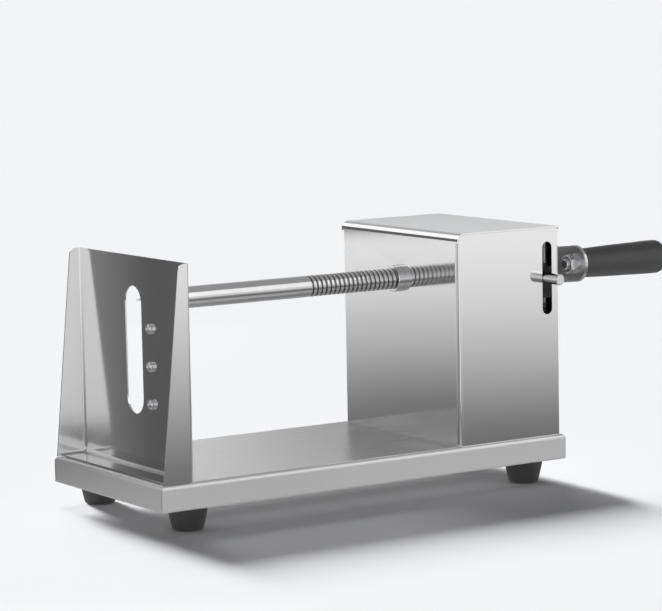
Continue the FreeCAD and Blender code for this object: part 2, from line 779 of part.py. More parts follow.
def make_side_panel(label, side):
    """One folded side of the housing, with the slot of the release pin."""
    body = new_body(label)
    outside = side * housing_half
    inside = side * (housing_half - housing_sheet)
    flange = side * (housing_half - panel_flange)
    front_inside = panel_front + housing_sheet
    rear_inside = panel_rear - housing_sheet
    sketch = new_sketch(body, "XY_Plane")
    draw_outline(sketch, [
        (panel_front, flange),
        (panel_front, outside),
        (panel_rear, outside),
        (panel_rear, flange),
        (rear_inside, flange),
        (rear_inside, inside),
        (front_inside, inside),
        (front_inside, flange),
    ])
    pad(body, sketch, panel_top)
    for height in (size(0), panel_top - housing_sheet):
        sketch = new_sketch(body, "XY_Plane", height)
        draw_rectangle(sketch, front_inside, flange, rear_inside, inside)
        pad(body, sketch, housing_sheet)
    round_edges(body, panel_bend, edges_where(body, x=panel_front, y=outside))
    round_edges(body, panel_rear_bend, edges_where(body, x=panel_rear, y=outside))
    sketch = new_sketch(body, "XZ_Plane")
    draw_corner_waste(sketch, panel_front, panel_top, housing_bend - housing_sheet - washer_gap)
    pocket(body, sketch)
    sketch = new_sketch(body, "XZ_Plane")
    reach = (pin_slot_length - pin_slot_width) / 2
    draw_slot(sketch, (pin_x, axis_height - reach), (pin_x, axis_height + reach), pin_slot_width, True)
    pocket(body, sketch)
    sketch = new_sketch(body, "XY_Plane", housing_sheet)
    for x in flange_screw_xs:
        draw_circle(sketch, x, side * flange_screw_y, m4 + bolt_clear)
    pocket(body, sketch, 2 * housing_sheet)
    keep_on_stand(body)


def make_housing_fasteners():
    """Four screws up through the base, with their nuts on the side panels' foot flanges."""
    length = base_sheet + housing_sheet + m4_nut_high + screw_spare
    screw = headed_screw("housing_screw", m4, length, m4_head, m4_head_high, screw_dome)
    nut = hexagon_nut("housing_nut", m4_nut_flats, m4_nut_high, m4)
    spots = []
    nut_spots = []
    for side in (-1, 1):
        for x in flange_screw_xs:
            y = side * flange_screw_y
            spots.append((left_end + x, y, base_top - base_sheet, FORWARD, 180))
            nut_spots.append((left_end + x, y, base_top + housing_sheet, UPWARD, 0))
    keep_group("housing_screws", screw, spots)
    keep_group("housing_nuts", nut, nut_spots)


def make_bush(label, nose, place_x, turn):
    """A flanged bush whose flange bears on the inside of a housing wall."""
    body = new_body(label)
    bore = shaft_diameter / 2 + running_fit
    outer = bush_diameter / 2
    reach = nose + housing_sheet
    turn_profile(body, [
        (bore, 0),
        (outer, 0),
        (outer, reach),
        (bush_flange / 2, reach),
        (bush_flange / 2, reach + bush_flange_thick),
        (outer, reach + bush_flange_thick),
        (outer, reach + bush_tail),
        (bore, reach + bush_tail),
    ])
    bevel_edges(body, bush_bevel, edges_where(body, z=0)[-1:])
    place(body, left_end + place_x, 0, axis_z, SIDEWAYS, turn)
    keep(body)


def make_half_nut():
    """The lower half of a nut that the slide presses against the feed shaft."""
    body = new_body("half_nut")
    sketch = new_sketch(body, "YZ_Plane")
    draw_circle(sketch, 0, 0, nut_outer)
    draw_circle(sketch, 0, 0, shaft_diameter + 2 * running_fit)
    pad(body, sketch, nut_length)
    sketch = new_sketch(body, "YZ_Plane")
    draw_rectangle(sketch, -nut_outer, -nut_split, nut_outer, nut_outer)
    pocket(body, sketch)
    sketch = new_sketch(body, "XY_Plane", -nut_outer)
    for side in (-1, 1):
        draw_circle(sketch, nut_length / 2 + side * nut_screw_spacing / 2, 0, m4)
    pocket(body, sketch, nut_outer / 2 + nut_tapping, back=True)
    place(body, left_end + nut_x - nut_length / 2, 0, axis_z)
    keep(body)


def make_nut_slide():
    """The slide: a saddle under the half nut with an arm to each guide post and pin."""
    body = new_body("nut_slide")
    height = block_below + block_above
    front = block_rear - block_length
    arm_front = block_rear - block_arm
    sketch = new_sketch(body, "XY_Plane", axis_height - block_below)
    draw_outline(sketch, [
        (front, -block_body),
        (arm_front, -block_body),
        (arm_front, -block_half_width),
        (block_rear, -block_half_width),
        (block_rear, block_half_width),
        (arm_front, block_half_width),
        (arm_front, block_body),
        (front, block_body),
    ])
    pad(body, sketch, height)
    saddle = nut_outer + 2 * running_fit
    sketch = new_sketch(body, "YZ_Plane")
    draw_circle(sketch, 0, axis_height, saddle)
    pocket(body, sketch)
    sketch = new_sketch(body, "YZ_Plane")
    draw_rectangle(sketch, -saddle / 2, axis_height, saddle / 2, axis_height + height)
    pocket(body, sketch)
    sketch = new_sketch(body, "XY_Plane")
    notch = bush_flange / 2 + notch_room
    draw_rectangle(sketch, block_rear - notch_depth, -notch, block_rear + overcut, notch)
    pocket(body, sketch)
    sketch = new_sketch(body, "XY_Plane")
    for side in (-1, 1):
        draw_circle(sketch, post_x, side * post_y, post_diameter + 2 * running_fit)
    pocket(body, sketch)
    sketch = new_sketch(body, "XY_Plane")
    screw_xs = [nut_x + side * nut_screw_spacing / 2 for side in (-1, 1)]
    for x in screw_xs:
        draw_circle(sketch, x, 0, m4 + bolt_clear)
    pocket(body, sketch)
    for side in (-1, 1):
        sketch = new_sketch(body, "XZ_Plane", -side * block_half_width)
        draw_circle(sketch, pin_x, axis_height, pin_stub + 2 * running_fit)
        pocket(body, sketch, pin_stub_length, back=(side > 0))
    keep_on_stand(body)
    reach = block_below - nut_outer / 2
    screw = headed_screw("half_nut_screw", m4, reach + screw_spare, m4_head, m4_head_high, screw_dome)
    spots = []
    for x in screw_xs:
        spots.append((left_end + x, 0, axis_z - block_below, FORWARD, 180))
    keep_group("half_nut_screws", screw, spots)


def make_release_pins():
    """The two pins that stick out of the housing's slots, screwed into the slide."""
    length = housing_half + pin_reach - block_half_width
    for label, side in (("release_pin_near", -1), ("release_pin_far", 1)):
        body = new_body(label)
        turn_profile(body, [
            (0, -pin_stub_length),
            (pin_stub / 2, -pin_stub_length),
            (pin_stub / 2, 0),
            (pin_diameter / 2, 0),
            (pin_diameter / 2, length),
            (0, length),
        ])
        bevel_edges(body, pin_bevel, edges_where(body, z=length))
        place(body, left_end + pin_x, side * block_half_width, axis_z, FORWARD, -90 * side)
        keep(body)


def make_guide_posts():
    """The two posts that guide the slide, their nuts, the bridge that ties them, and the springs."""
    stud = base_sheet + m6_nut_high + screw_spare
    top_stud = bridge_sheet + m5_nut_high + short_spare
    for label, side in (("guide_post_near", -1), ("guide_post_far", 1)):
        body = new_body(label)
        turn_profile(body, [
            (0, -stud),
            (m6 / 2, -stud),
            (m6 / 2, 0),
            (post_foot / 2, 0),
            (post_foot / 2, post_foot_height),
            (post_diameter / 2, post_foot_height),
            (post_diameter / 2, bridge_height),
            (m5 / 2, bridge_height),
            (m5 / 2, bridge_height + top_stud),
            (0, bridge_height + top_stud),
        ])
        place(body, left_end + post_x, side * post_y, base_top)
        keep(body)
    bridge = new_body("post_bridge")
    sketch = new_sketch(bridge, "XY_Plane", bridge_height)
    half = post_y + bridge_overhang
    draw_rectangle(sketch, post_x - bridge_depth / 2, -half, post_x + bridge_depth / 2, half)
    for side in (-1, 1):
        draw_circle(sketch, post_x, side * post_y, m5 + bolt_clear)
    pad(bridge, sketch, bridge_sheet)
    keep_on_stand(bridge)
    low_nut = hexagon_nut("post_nut", m6_nut_flats, m6_nut_high, m6)
    high_nut = hexagon_nut("bridge_nut", m5_nut_flats, m5_nut_high, m5)
    low_spots = []
    high_spots = []
    for side in (-1, 1):
        y = side * post_y
        low_spots.append((left_end + post_x, y, base_top - base_sheet - m6_nut_high, UPWARD, 0))
        high_spots.append((left_end + post_x, y, base_top + bridge_height + bridge_sheet, UPWARD, 0))
    keep_group("post_nuts", low_nut, low_spots)
    keep_group("bridge_nuts", high_nut, high_spots)


def make_springs():
    """The coil springs on the posts that press the slide up against the shaft."""
    low = post_foot_height + spring_seat_gap
    high = axis_height - block_below - spring_seat_gap
    rise = high - low - spring_wire
    coil_radius = (post_diameter / 2 + post_foot / 2) / 2
    for label, side in (("spring_near", -1), ("spring_far", 1)):
        body = new_body(label)
        sketch = new_sketch(body, "XZ_Plane")
        draw_circle(sketch, coil_radius, spring_wire / 2, spring_wire)
        coil = body.newObject("PartDesign::AdditiveHelix", f"{label}_coil")
        coil.Profile = sketch
        coil.ReferenceAxis = (sketch, ["V_Axis"])
        coil.Mode = "height-turns-angle"
        coil.setExpression("Height", rise.formula)
        coil.setExpression("Turns", spring_turns.formula)
        place(body, left_end + post_x, side * post_y, base_top + low)
        keep(body)
    print("gap between spring turns", round(rise.value / spring_turns.value - spring_wire.value, 2))


def make_feed_shaft():
    """The hollow feed shaft: plain in front, threaded behind, with a journal for the fork."""
    body = new_body("feed_shaft")
    start = fork_place + fork_thick
    length = arm_place - start
    radius = shaft_diameter / 2
    shoulder = fork_hub_length
    tapped = length - crank_tapping
    turn_profile(body, [
        (skewer_bore / 2, 0),
        (journal_diameter / 2, 0),
        (journal_diameter / 2, shoulder),
        (radius, shoulder),
        (radius, length),
        (m6 / 2, length),
        (m6 / 2, tapped),
        (0, tapped),
        (0, skewer_depth),
        (skewer_bore / 2, skewer_depth),
    ])
    doc.recompute()
    sketch = new_sketch(body, "XZ_Plane")
    root = radius - thread_depth
    middle = thread_start - start + thread_pitch / 2
    slope = (thread_mouth - thread_root) / 2 / thread_depth
    half_mouth = thread_mouth / 2 + slope * overcut
    draw_outline(sketch, [
        (root, middle - thread_root / 2),
        (radius + overcut, middle - half_mouth),
        (radius + overcut, middle + half_mouth),
        (root, middle + thread_root / 2),
    ])
    groove = body.newObject("PartDesign::Groove", "thread_groove")
    groove.Profile = sketch
    groove.ReferenceAxis = (sketch, ["V_Axis"])
    groove.Angle = 360
    doc.recompute()
    threads = body.newObject("PartDesign::LinearPattern", "thread")
    threads.Originals = [groove]
    threads.Direction = (sketch, ["V_Axis"])
    count = int((housing_rear - thread_start).value / thread_pitch.value)
    threads.setExpression("Length", (thread_pitch * (count - 1)).formula)
    threads.Occurrences = count
    body.Tip = threads
    place(body, left_end + start, 0, axis_z, SIDEWAYS, 90)
    keep(body)


def make_fork():
    """The fork: a disc on a hub, four pointed prongs and the screw that holds the hub."""
    body = new_body("fork_head")
    turn_profile(body, [
        (skewer_bore / 2, 0),
        (fork_diameter / 2, 0),
        (fork_diameter / 2, fork_thick),
        (fork_hub / 2, fork_thick),
        (fork_hub / 2, fork_thick + fork_hub_length),
        (journal_diameter / 2, fork_thick + fork_hub_length),
        (journal_diameter / 2, fork_thick),
        (skewer_bore / 2, fork_thick),
    ])
    sketch = new_sketch(body, "XY_Plane")
    for index in range(prong_count):
        angle = Size(360 * index / prong_count, f"({360 * index / prong_count})")
        draw_circle(sketch, prong_circle / 2 * cosine(angle), prong_circle / 2 * sine(angle),
                    prong_diameter)
    pocket(body, sketch, fork_thick, back=True)
    sketch = new_sketch(body, "YZ_Plane")
    draw_circle(sketch, 0, fork_thick + fork_hub_length / 2, m4)
    pocket(body, sketch, fork_hub / 2, back=True)
    place(body, left_end + fork_place, 0, axis_z, SIDEWAYS, 90)
    keep(body)
    prong = new_body("fork_prong")
    turn_profile(prong, [
        (0, -prong_length),
        (prong_tip / 2, -prong_length),
        (prong_diameter / 2, prong_taper - prong_length),
        (prong_diameter / 2, fork_thick),
        (0, fork_thick),
    ])
    spots = []
    for index in range(prong_count):
        angle = Size(360 * index / prong_count, f"({360 * index / prong_count})")
        y = prong_circle / 2 * sine(angle)
        z = axis_z - prong_circle / 2 * cosine(angle)
        spots.append((left_end + fork_place, y, z, SIDEWAYS, 90))
    keep_group("fork_prongs", prong, spots)
    grub = new_body("fork_screw")
    turn_profile(grub, [
        (0, journal_diameter / 2),
        (m4 / 2, journal_diameter / 2),
        (m4 / 2, fork_hub / 2),
        (0, fork_hub / 2),
    ])
    place(grub, left_end + fork_place + fork_thick + fork_hub_length / 2, 0, axis_z, FORWARD, 180)
    keep(grub)


def make_thrust_washer():
    """The loose washer that travels along between the crank's hub and the rear bush."""
    body = new_body("thrust_washer")
    bore = shaft_diameter / 2 + running_fit
    turn_profile(body, [
        (bore, 0),
        (thrust_diameter / 2, 0),
        (thrust_diameter / 2, thrust_thick),
        (bore, thrust_thick),
    ])
    place(body, left_end + thrust_place, 0, axis_z, SIDEWAYS, 90)
    keep(body)


def make_crank():
    """The crank: a hub and its screw, the flat arm, and the bolt that clamps both."""
    hub = new_body("crank_hub")
    turn_profile(hub, [
        (shaft_diameter / 2, 0),
        (hub_diameter / 2, 0),
        (hub_diameter / 2, hub_length),
        (shaft_diameter / 2, hub_length),
    ])
    bevel_edges(hub, hub_bevel, edges_where(hub, z=0)[-1:])
    sketch = new_sketch(hub, "YZ_Plane")
    draw_circle(sketch, 0, hub_length / 2, m5)
    pocket(hub, sketch, hub_diameter / 2)
    place(hub, left_end + hub_place, 0, axis_z, SIDEWAYS, 90)
    keep(hub)
    grub = new_body("hub_screw")
    turn_profile(grub, [
        (0, shaft_diameter / 2),
        (m5 / 2, shaft_diameter / 2),
        (m5 / 2, hub_diameter / 2 - hub_screw_sink),
        (0, hub_diameter / 2 - hub_screw_sink),
    ])
    place(grub, left_end + hub_place + hub_length / 2, 0, axis_z)
    keep(grub)
    arm = new_body("crank_arm")
    sketch = new_sketch(arm, "YZ_Plane")
    draw_slot(sketch, (-crank_radius, 0), (0, 0), arm_width, False)
    pad(arm, sketch, arm_thick)
    rims = edges_where(arm, x=0) + edges_where(arm, x=arm_thick)
    bevel_edges(arm, arm_edge, rims)
    sketch = new_sketch(arm, "YZ_Plane")
    draw_circle(sketch, 0, 0, m6 + bolt_clear)
    draw_circle(sketch, -crank_radius, 0, m8 + bolt_clear)
    pocket(arm, sketch)
    place(arm, left_end + arm_place, 0, axis_z, FORWARD, -crank_angle)
    keep(arm)
    washer = plain_washer("crank_washer", m6, m6_washer)
    place(washer, left_end + arm_place + arm_thick, 0, axis_z, SIDEWAYS, 90)
    keep(washer)
    bolt = new_body("crank_bolt")
    sketch = new_sketch(bolt, "XY_Plane")
    draw_hexagon(sketch, m6_nut_flats)
    pad(bolt, sketch, crank_bolt_head)
    sketch = new_sketch(bolt, "XY_Plane")
    draw_circle(sketch, 0, 0, m6)
    pad(bolt, sketch, arm_thick + washer_thick + crank_bolt_reach, back=True)
    place(bolt, left_end + arm_place + arm_thick + washer_thick, 0, axis_z, SIDEWAYS, 90)
    keep(bolt)


def make_grip():
    """The revolving grip with its stepped spindle, washer and lock nut."""
    bore = grip_spindle / 2 + running_fit
    head_radius = spindle_head / 2
    pocket_radius = head_radius + spindle_head_gap
    grip = new_body("grip")
    turn_profile(grip, [
        (bore, 0),
        (grip_small / 2, 0),
        (grip_large / 2, grip_taper_length),
        (grip_large / 2, grip_length),
        (pocket_radius, grip_length),
        (pocket_radius, grip_length - grip_pocket),
        (bore, grip_length - grip_pocket),
    ])
    round_edges(grip, grip_inner_round, edges_where(grip, z=0)[-1:])
    rim = edges_where(grip, z=grip_length)
    outer_rim = [name for name in rim if grip.Shape.getElement(name).Curve.Radius > grip_small.value / 2]
    round_edges(grip, grip_round, outer_rim)
    place(grip, left_end + grip_place, grip_y, grip_z, SIDEWAYS, 90)
    keep(grip)
    spindle = new_body("grip_spindle")
    nut_side = -(grip_gap + arm_thick + washer_thick + m8_nut_high + spindle_spare)
    head_low = grip_length - grip_pocket + spindle_end_gap
    head_high = head_low + spindle_head_high
    turn_profile(spindle, [
        (0, nut_side),
        (m8 / 2, nut_side),
        (m8 / 2, -grip_gap),
        (grip_spindle / 2, -grip_gap),
        (grip_spindle / 2, head_low),
        (head_radius, head_low),
        (head_radius, head_high),
        (0, head_high),
    ])
    bevel_edges(spindle, spindle_bevel, edges_where(spindle, z=nut_side))
    sketch = new_sketch(spindle, "XY_Plane", head_high)
    draw_hexagon(sketch, spindle_key)
    pocket(spindle, sketch, spindle_key_depth)
    place(spindle, left_end + grip_place, grip_y, grip_z, SIDEWAYS, 90)
    keep(spindle)
    washer = plain_washer("grip_washer", m8, m8_washer)
    place(washer, left_end + arm_place - washer_thick, grip_y, grip_z, SIDEWAYS, 90)
    keep(washer)
    nut = hexagon_nut("grip_nut", m8_nut_flats, m8_nut_high, m8)
    place(nut, left_end + arm_place - washer_thick - m8_nut_high, grip_y, grip_z, SIDEWAYS, 90)
    keep(nut)


def check_document():
    """Stops if any object failed or any kept piece has no valid solid."""
    doc.recompute()
    for thing in doc.Objects:
        for word in ("Invalid", "Error"):
            if word in thing.State:
                raise RuntimeError(f"{thing.Label} is {thing.State}")
    labels = set()
    for piece in pieces:
        if piece.Shape.isNull() or not piece.Shape.isValid() or not piece.Shape.Solids:
            raise RuntimeError(f"{piece.Label} has no valid solid")
        labels.add(piece.Label)
    if len(labels) != len(pieces):
        raise RuntimeError("Two pieces share one label")


def write_pieces():
    """Writes each kept piece to its own file."""
    os.makedirs("parts", exist_ok=True)
    for piece in pieces:
        piece.Shape.exportStep(f"parts/{piece.Label}.step")
        box = piece.Shape.BoundBox
        print(piece.Label, len(piece.Shape.Solids), "solids,",
              [round(edge, 2) for edge in (box.XMin, box.YMin, box.ZMin, box.XMax, box.YMax, box.ZMax)])


make_base_pan()
make_feet()
make_bracket()
make_blade()
make_housing_cover()
make_side_panel("side_panel_near", -1)
make_side_panel("side_panel_far", 1)
make_housing_fasteners()
make_bush("front_bush", front_bush_nose, housing_front - front_bush_nose, 90)
make_bush("rear_bush", rear_bush_nose, housing_rear + rear_bush_nose, -90)
make_half_nut()
make_nut_slide()
make_release_pins()
make_guide_posts()
make_springs()
make_feed_shaft()
make_fork()
make_thrust_washer()
make_crank()
make_grip()
check_document()
write_pieces()
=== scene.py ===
# %% [markdown]
# A hand cranked tornado cutter.
# On the real object a crank screws a long shaft through a folded steel housing, and a fork on the
# shaft's end pushes a vegetable past a blade on an upright bracket. The solids come ready from the
# CAD step as a fixed frame. Blender's task is the finish: the thread's helix, the fasteners'
# details, and steel, rubber and plastic that look handled and real.

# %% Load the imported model
import math
import bpy
from mathutils import Matrix, Vector


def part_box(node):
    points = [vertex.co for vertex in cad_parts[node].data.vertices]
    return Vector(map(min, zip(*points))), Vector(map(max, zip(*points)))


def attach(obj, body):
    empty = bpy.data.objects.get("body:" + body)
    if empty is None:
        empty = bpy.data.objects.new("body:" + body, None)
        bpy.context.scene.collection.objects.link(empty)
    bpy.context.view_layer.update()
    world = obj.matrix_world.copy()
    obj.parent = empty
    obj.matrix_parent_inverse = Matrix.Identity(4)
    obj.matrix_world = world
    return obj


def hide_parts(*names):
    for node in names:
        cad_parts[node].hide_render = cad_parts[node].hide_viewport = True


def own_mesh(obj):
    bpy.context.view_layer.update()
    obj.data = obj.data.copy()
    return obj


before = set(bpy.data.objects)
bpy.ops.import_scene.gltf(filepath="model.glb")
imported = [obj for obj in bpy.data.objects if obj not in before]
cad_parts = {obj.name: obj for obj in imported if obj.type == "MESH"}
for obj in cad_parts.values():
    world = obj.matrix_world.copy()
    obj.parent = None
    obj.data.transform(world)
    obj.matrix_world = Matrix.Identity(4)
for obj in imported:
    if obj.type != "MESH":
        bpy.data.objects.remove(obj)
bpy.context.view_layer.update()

MM = 0.001

# %% [markdown]
# The places that this script needs come from the CAD pieces' own boxes, so a piece made here can't
# drift away from what carries it. The shaft's axis is the middle of the feed shaft's box.

# %% Places read from the frame
shaft_low, shaft_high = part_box("feed_shaft")
base_low, base_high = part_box("base_pan")
housing_low, housing_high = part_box("housing_cover")
grip_low, grip_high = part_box("grip")
spindle_low, spindle_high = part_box("grip_spindle")
axis_z = (shaft_low.z + shaft_high.z) / 2
grip_axis_y = (grip_low.y + grip_high.y) / 2
grip_axis_z = (grip_low.z + grip_high.z) / 2
print("shaft axis height in mm", round(axis_z / MM, 2))

# %% [markdown]
# Brushed metal, dust and handling marks turn up in several finishes. Each is a shader node group:
# a small machine with named inputs that is built once, and set in each material with values of its
# own. Building them in code takes four short helpers: one adds a node, one joins two sockets, one
# opens a group with its sockets, and one scales and shifts a value.

# %% Helpers for node trees
def add_node(tree, kind, **values):
    node = tree.nodes.new(kind)
    for name, value in values.items():
        setattr(node, name, value)
    return node


def join(tree, source, target):
    tree.links.new(source, target)


def open_group(name, inputs, outputs):
    group = bpy.data.node_groups.new(name, "ShaderNodeTree")
    for label, kind, value in inputs:
        socket = group.interface.new_socket(label, in_out="INPUT", socket_type=kind)
        if value is not None:
            socket.default_value = value
    for label, kind in outputs:
        group.interface.new_socket(label, in_out="OUTPUT", socket_type=kind)
    return group, add_node(group, "NodeGroupInput"), add_node(group, "NodeGroupOutput")


def multiply(tree, source, factor, offset=0.0):
    node = add_node(tree, "ShaderNodeMath", operation="MULTIPLY_ADD")
    join(tree, source, node.inputs[0])
    node.inputs[1].default_value = factor
    node.inputs[2].default_value = offset
    return node.outputs[0]


# %% [markdown]
# Brushing leaves long fine scratches that all run one way. Noise that is squeezed across the
# scratches and stretched along them looks just like that. Object coordinates are in metres and move
# with the piece, so the scratches stay put when a part moves and keep one real width everywhere.

# %% Group: brushed lines
def make_brushed_lines():
    group, inside, result = open_group(
        "brushed lines",
        [("Stretch", "NodeSocketVector", (60.0, 1800.0, 1800.0))],
        [("Lines", "NodeSocketFloat"), ("Bands", "NodeSocketFloat")])
    place = add_node(group, "ShaderNodeTexCoord")
    squeeze = add_node(group, "ShaderNodeVectorMath", operation="MULTIPLY")
    join(group, place.outputs["Object"], squeeze.inputs[0])
    join(group, inside.outputs["Stretch"], squeeze.inputs[1])
    fine = add_node(group, "ShaderNodeTexNoise")
    fine.inputs["Scale"].default_value = 1.0
    fine.inputs["Roughness"].default_value = 0.7
    fine.inputs["Detail"].default_value = 3.0
    join(group, squeeze.outputs[0], fine.inputs["Vector"])
    wide = add_node(group, "ShaderNodeTexNoise")
    wide.inputs["Scale"].default_value = 0.11
    wide.inputs["Detail"].default_value = 2.0
    join(group, squeeze.outputs[0], wide.inputs["Vector"])
    join(group, fine.outputs["Fac"], result.inputs["Lines"])
    join(group, wide.outputs["Fac"], result.inputs["Bands"])
    return group


brushed_lines = make_brushed_lines()
print("made group", brushed_lines.name)

# %% [markdown]
# Handled metal carries faint smears: patches a few centimetres wide where the shine is softer. A
# large soft noise, cut to its upper part, gives a mask of them.

# %% Group: handling marks
def make_handling_marks():
    group, inside, result = open_group(
        "handling marks",
        [("Size", "NodeSocketFloat", 22.0), ("Cover", "NodeSocketFloat", 0.5)],
        [("Smears", "NodeSocketFloat")])
    place = add_node(group, "ShaderNodeTexCoord")
    smears = add_node(group, "ShaderNodeTexNoise")
    smears.inputs["Detail"].default_value = 4.0
    smears.inputs["Roughness"].default_value = 0.55
    smears.inputs["Distortion"].default_value = 0.6
    join(group, place.outputs["Object"], smears.inputs["Vector"])
    join(group, inside.outputs["Size"], smears.inputs["Scale"])
    limits = add_node(group, "ShaderNodeMapRange", interpolation_type="SMOOTHSTEP")
    join(group, smears.outputs["Fac"], limits.inputs["Value"])
    join(group, inside.outputs["Cover"], limits.inputs["From Min"])
    limits.inputs["From Max"].default_value = 0.85
    join(group, limits.outputs["Result"], result.inputs["Smears"])
    return group


handling_marks = make_handling_marks()
print("made group", handling_marks.name)

# %% [markdown]
# Edges of a used part are rubbed brighter or paler than its faces; on the crank the same mask paints
# a highlight along the edges. Cycles measures how sharply the surface bends at each point as
# Pointiness, which is 0.5 on a flat face and more on an outer edge.

# %% Group: rubbed and lit edges
def make_rubbed_and_lit_edges():
    group, inside, result = open_group(
        "rubbed and lit edges",
        [("Start", "NodeSocketFloat", 0.52), ("End", "NodeSocketFloat", 0.6)],
        [("Edges", "NodeSocketFloat")])
    shape = add_node(group, "ShaderNodeNewGeometry")
    limits = add_node(group, "ShaderNodeMapRange", interpolation_type="SMOOTHSTEP")
    join(group, shape.outputs["Pointiness"], limits.inputs["Value"])
    join(group, inside.outputs["Start"], limits.inputs["From Min"])
    join(group, inside.outputs["End"], limits.inputs["From Max"])
    join(group, limits.outputs["Result"], result.inputs["Edges"])
    return group


rubbed_and_lit_edges = make_rubbed_and_lit_edges()
print("made group", rubbed_and_lit_edges.name)

# %% [markdown]
# Dust settles on what faces up. The surface normal's Z says how far a face looks up, and a fine
# noise breaks the layer into specks.

# %% Group: settled dust
def make_settled_dust():
    group, inside, result = open_group(
        "settled dust",
        [("Amount", "NodeSocketFloat", 0.3), ("Grain", "NodeSocketFloat", 900.0)],
        [("Dust", "NodeSocketFloat")])
    shape = add_node(group, "ShaderNodeNewGeometry")
    split = add_node(group, "ShaderNodeSeparateXYZ")
    join(group, shape.outputs["Normal"], split.inputs[0])
    upward = add_node(group, "ShaderNodeMapRange")
    upward.inputs["From Min"].default_value = 0.2
    upward.inputs["From Max"].default_value = 1.0
    join(group, split.outputs["Z"], upward.inputs["Value"])
    place = add_node(group, "ShaderNodeTexCoord")
    specks = add_node(group, "ShaderNodeTexNoise")
    specks.inputs["Detail"].default_value = 5.0
    join(group, place.outputs["Object"], specks.inputs["Vector"])
    join(group, inside.outputs["Grain"], specks.inputs["Scale"])
    both = add_node(group, "ShaderNodeMath", operation="MULTIPLY")
    join(group, upward.outputs["Result"], both.inputs[0])
    join(group, specks.outputs["Fac"], both.inputs[1])
    scaled = add_node(group, "ShaderNodeMath", operation="MULTIPLY", use_clamp=True)
    join(group, both.outputs[0], scaled.inputs[0])
    join(group, inside.outputs["Amount"], scaled.inputs[1])
    join(group, scaled.outputs[0], result.inputs["Dust"])
    return group


settled_dust = make_settled_dust()
print("made group", settled_dust.name)

# %% [markdown]
# One sheet can be finished in two ways: the pan's top is polished and its skirts are left satin and
# painted a shade paler, as painted light, and the crank's plain faces are painted dark as painted
# shade, with a painted highlight on its rim. The surface normal tells them apart. The group takes the
# direction that the flat faces look in, and gives 1 on them and 0 beside them.

# %% Group: flat faces
def make_flat_faces():
    group, inside, result = open_group(
        "flat faces", [("Direction", "NodeSocketVector", (0.0, 0.0, 1.0))],
        [("Flat", "NodeSocketFloat")])
    shape = add_node(group, "ShaderNodeNewGeometry")
    along = add_node(group, "ShaderNodeVectorMath", operation="DOT_PRODUCT")
    join(group, shape.outputs["Normal"], along.inputs[0])
    join(group, inside.outputs["Direction"], along.inputs[1])
    either = add_node(group, "ShaderNodeMath", operation="ABSOLUTE")
    join(group, along.outputs["Value"], either.inputs[0])
    limits = add_node(group, "ShaderNodeMapRange", interpolation_type="SMOOTHSTEP")
    limits.inputs["From Min"].default_value = 0.55
    limits.inputs["From Max"].default_value = 0.95
    join(group, either.outputs[0], limits.inputs["Value"])
    join(group, limits.outputs["Result"], result.inputs["Flat"])
    return group


flat_faces = make_flat_faces()
print("made group", flat_faces.name)

# %% [markdown]
# The grooves of the thread get painted shade, where shade falls into them: the steel's colour goes
# dark there, and that draws each turn as a dark line. The group measures how far a point lies below
# the bar's surface.

# %% Group: shaded grooves (painted shade)
def make_shaded_grooves():
    group, inside, result = open_group(
        "shaded grooves",
        [("Axis", "NodeSocketVector", (0.0, 0.0, 0.0)), ("Radius", "NodeSocketFloat", 0.008),
         ("Depth", "NodeSocketFloat", 0.0005)],
        [("Filled", "NodeSocketFloat")])
    place = add_node(group, "ShaderNodeTexCoord")
    from_axis = add_node(group, "ShaderNodeVectorMath", operation="SUBTRACT")
    join(group, place.outputs["Object"], from_axis.inputs[0])
    join(group, inside.outputs["Axis"], from_axis.inputs[1])
    across = add_node(group, "ShaderNodeVectorMath", operation="MULTIPLY")
    join(group, from_axis.outputs[0], across.inputs[0])
    across.inputs[1].default_value = (0.0, 1.0, 1.0)
    reach = add_node(group, "ShaderNodeVectorMath", operation="LENGTH")
    join(group, across.outputs[0], reach.inputs[0])
    below = add_node(group, "ShaderNodeMath", operation="SUBTRACT")
    join(group, inside.outputs["Radius"], below.inputs[0])
    join(group, reach.outputs["Value"], below.inputs[1])
    limits = add_node(group, "ShaderNodeMapRange", interpolation_type="SMOOTHSTEP")
    join(group, below.outputs[0], limits.inputs["Value"])
    limits.inputs["From Min"].default_value = 0.00005
    join(group, inside.outputs["Depth"], limits.inputs["From Max"])
    join(group, limits.outputs["Result"], result.inputs["Filled"])
    return group


shaded_grooves = make_shaded_grooves()
print("made group", shaded_grooves.name)

# %% [markdown]
# Every steel here is the same kind of material with other numbers: a full metal whose roughness is
# steady but for brushed lines and smears, and whose height moves by a few micrometres. One function
# makes them all, and each finish is one call with its own colour, roughness and grain direction.

# %% Steel finishes
def place_group(tree, group, **values):
    node = add_node(tree, "ShaderNodeGroup", node_tree=group)
    for name, value in values.items():
        node.inputs[name].default_value = value
    return node


def blend_colours(tree, mask, first, second):
    """Goes from the first colour to the second. Each is a socket or three numbers."""
    mix = add_node(tree, "ShaderNodeMix", data_type="RGBA")
    join(tree, mask, mix.inputs[0])
    for colour, socket in ((first, mix.inputs[6]), (second, mix.inputs[7])):
        if isinstance(colour, tuple):
            socket.default_value = (*colour, 1.0)
        else:
            join(tree, colour, socket)
    return mix.outputs[2]


def add_values(tree, first, second):
    total = add_node(tree, "ShaderNodeMath", operation="ADD", use_clamp=True)
    join(tree, first, total.inputs[0])
    join(tree, second, total.inputs[1])
    return total.outputs[0]


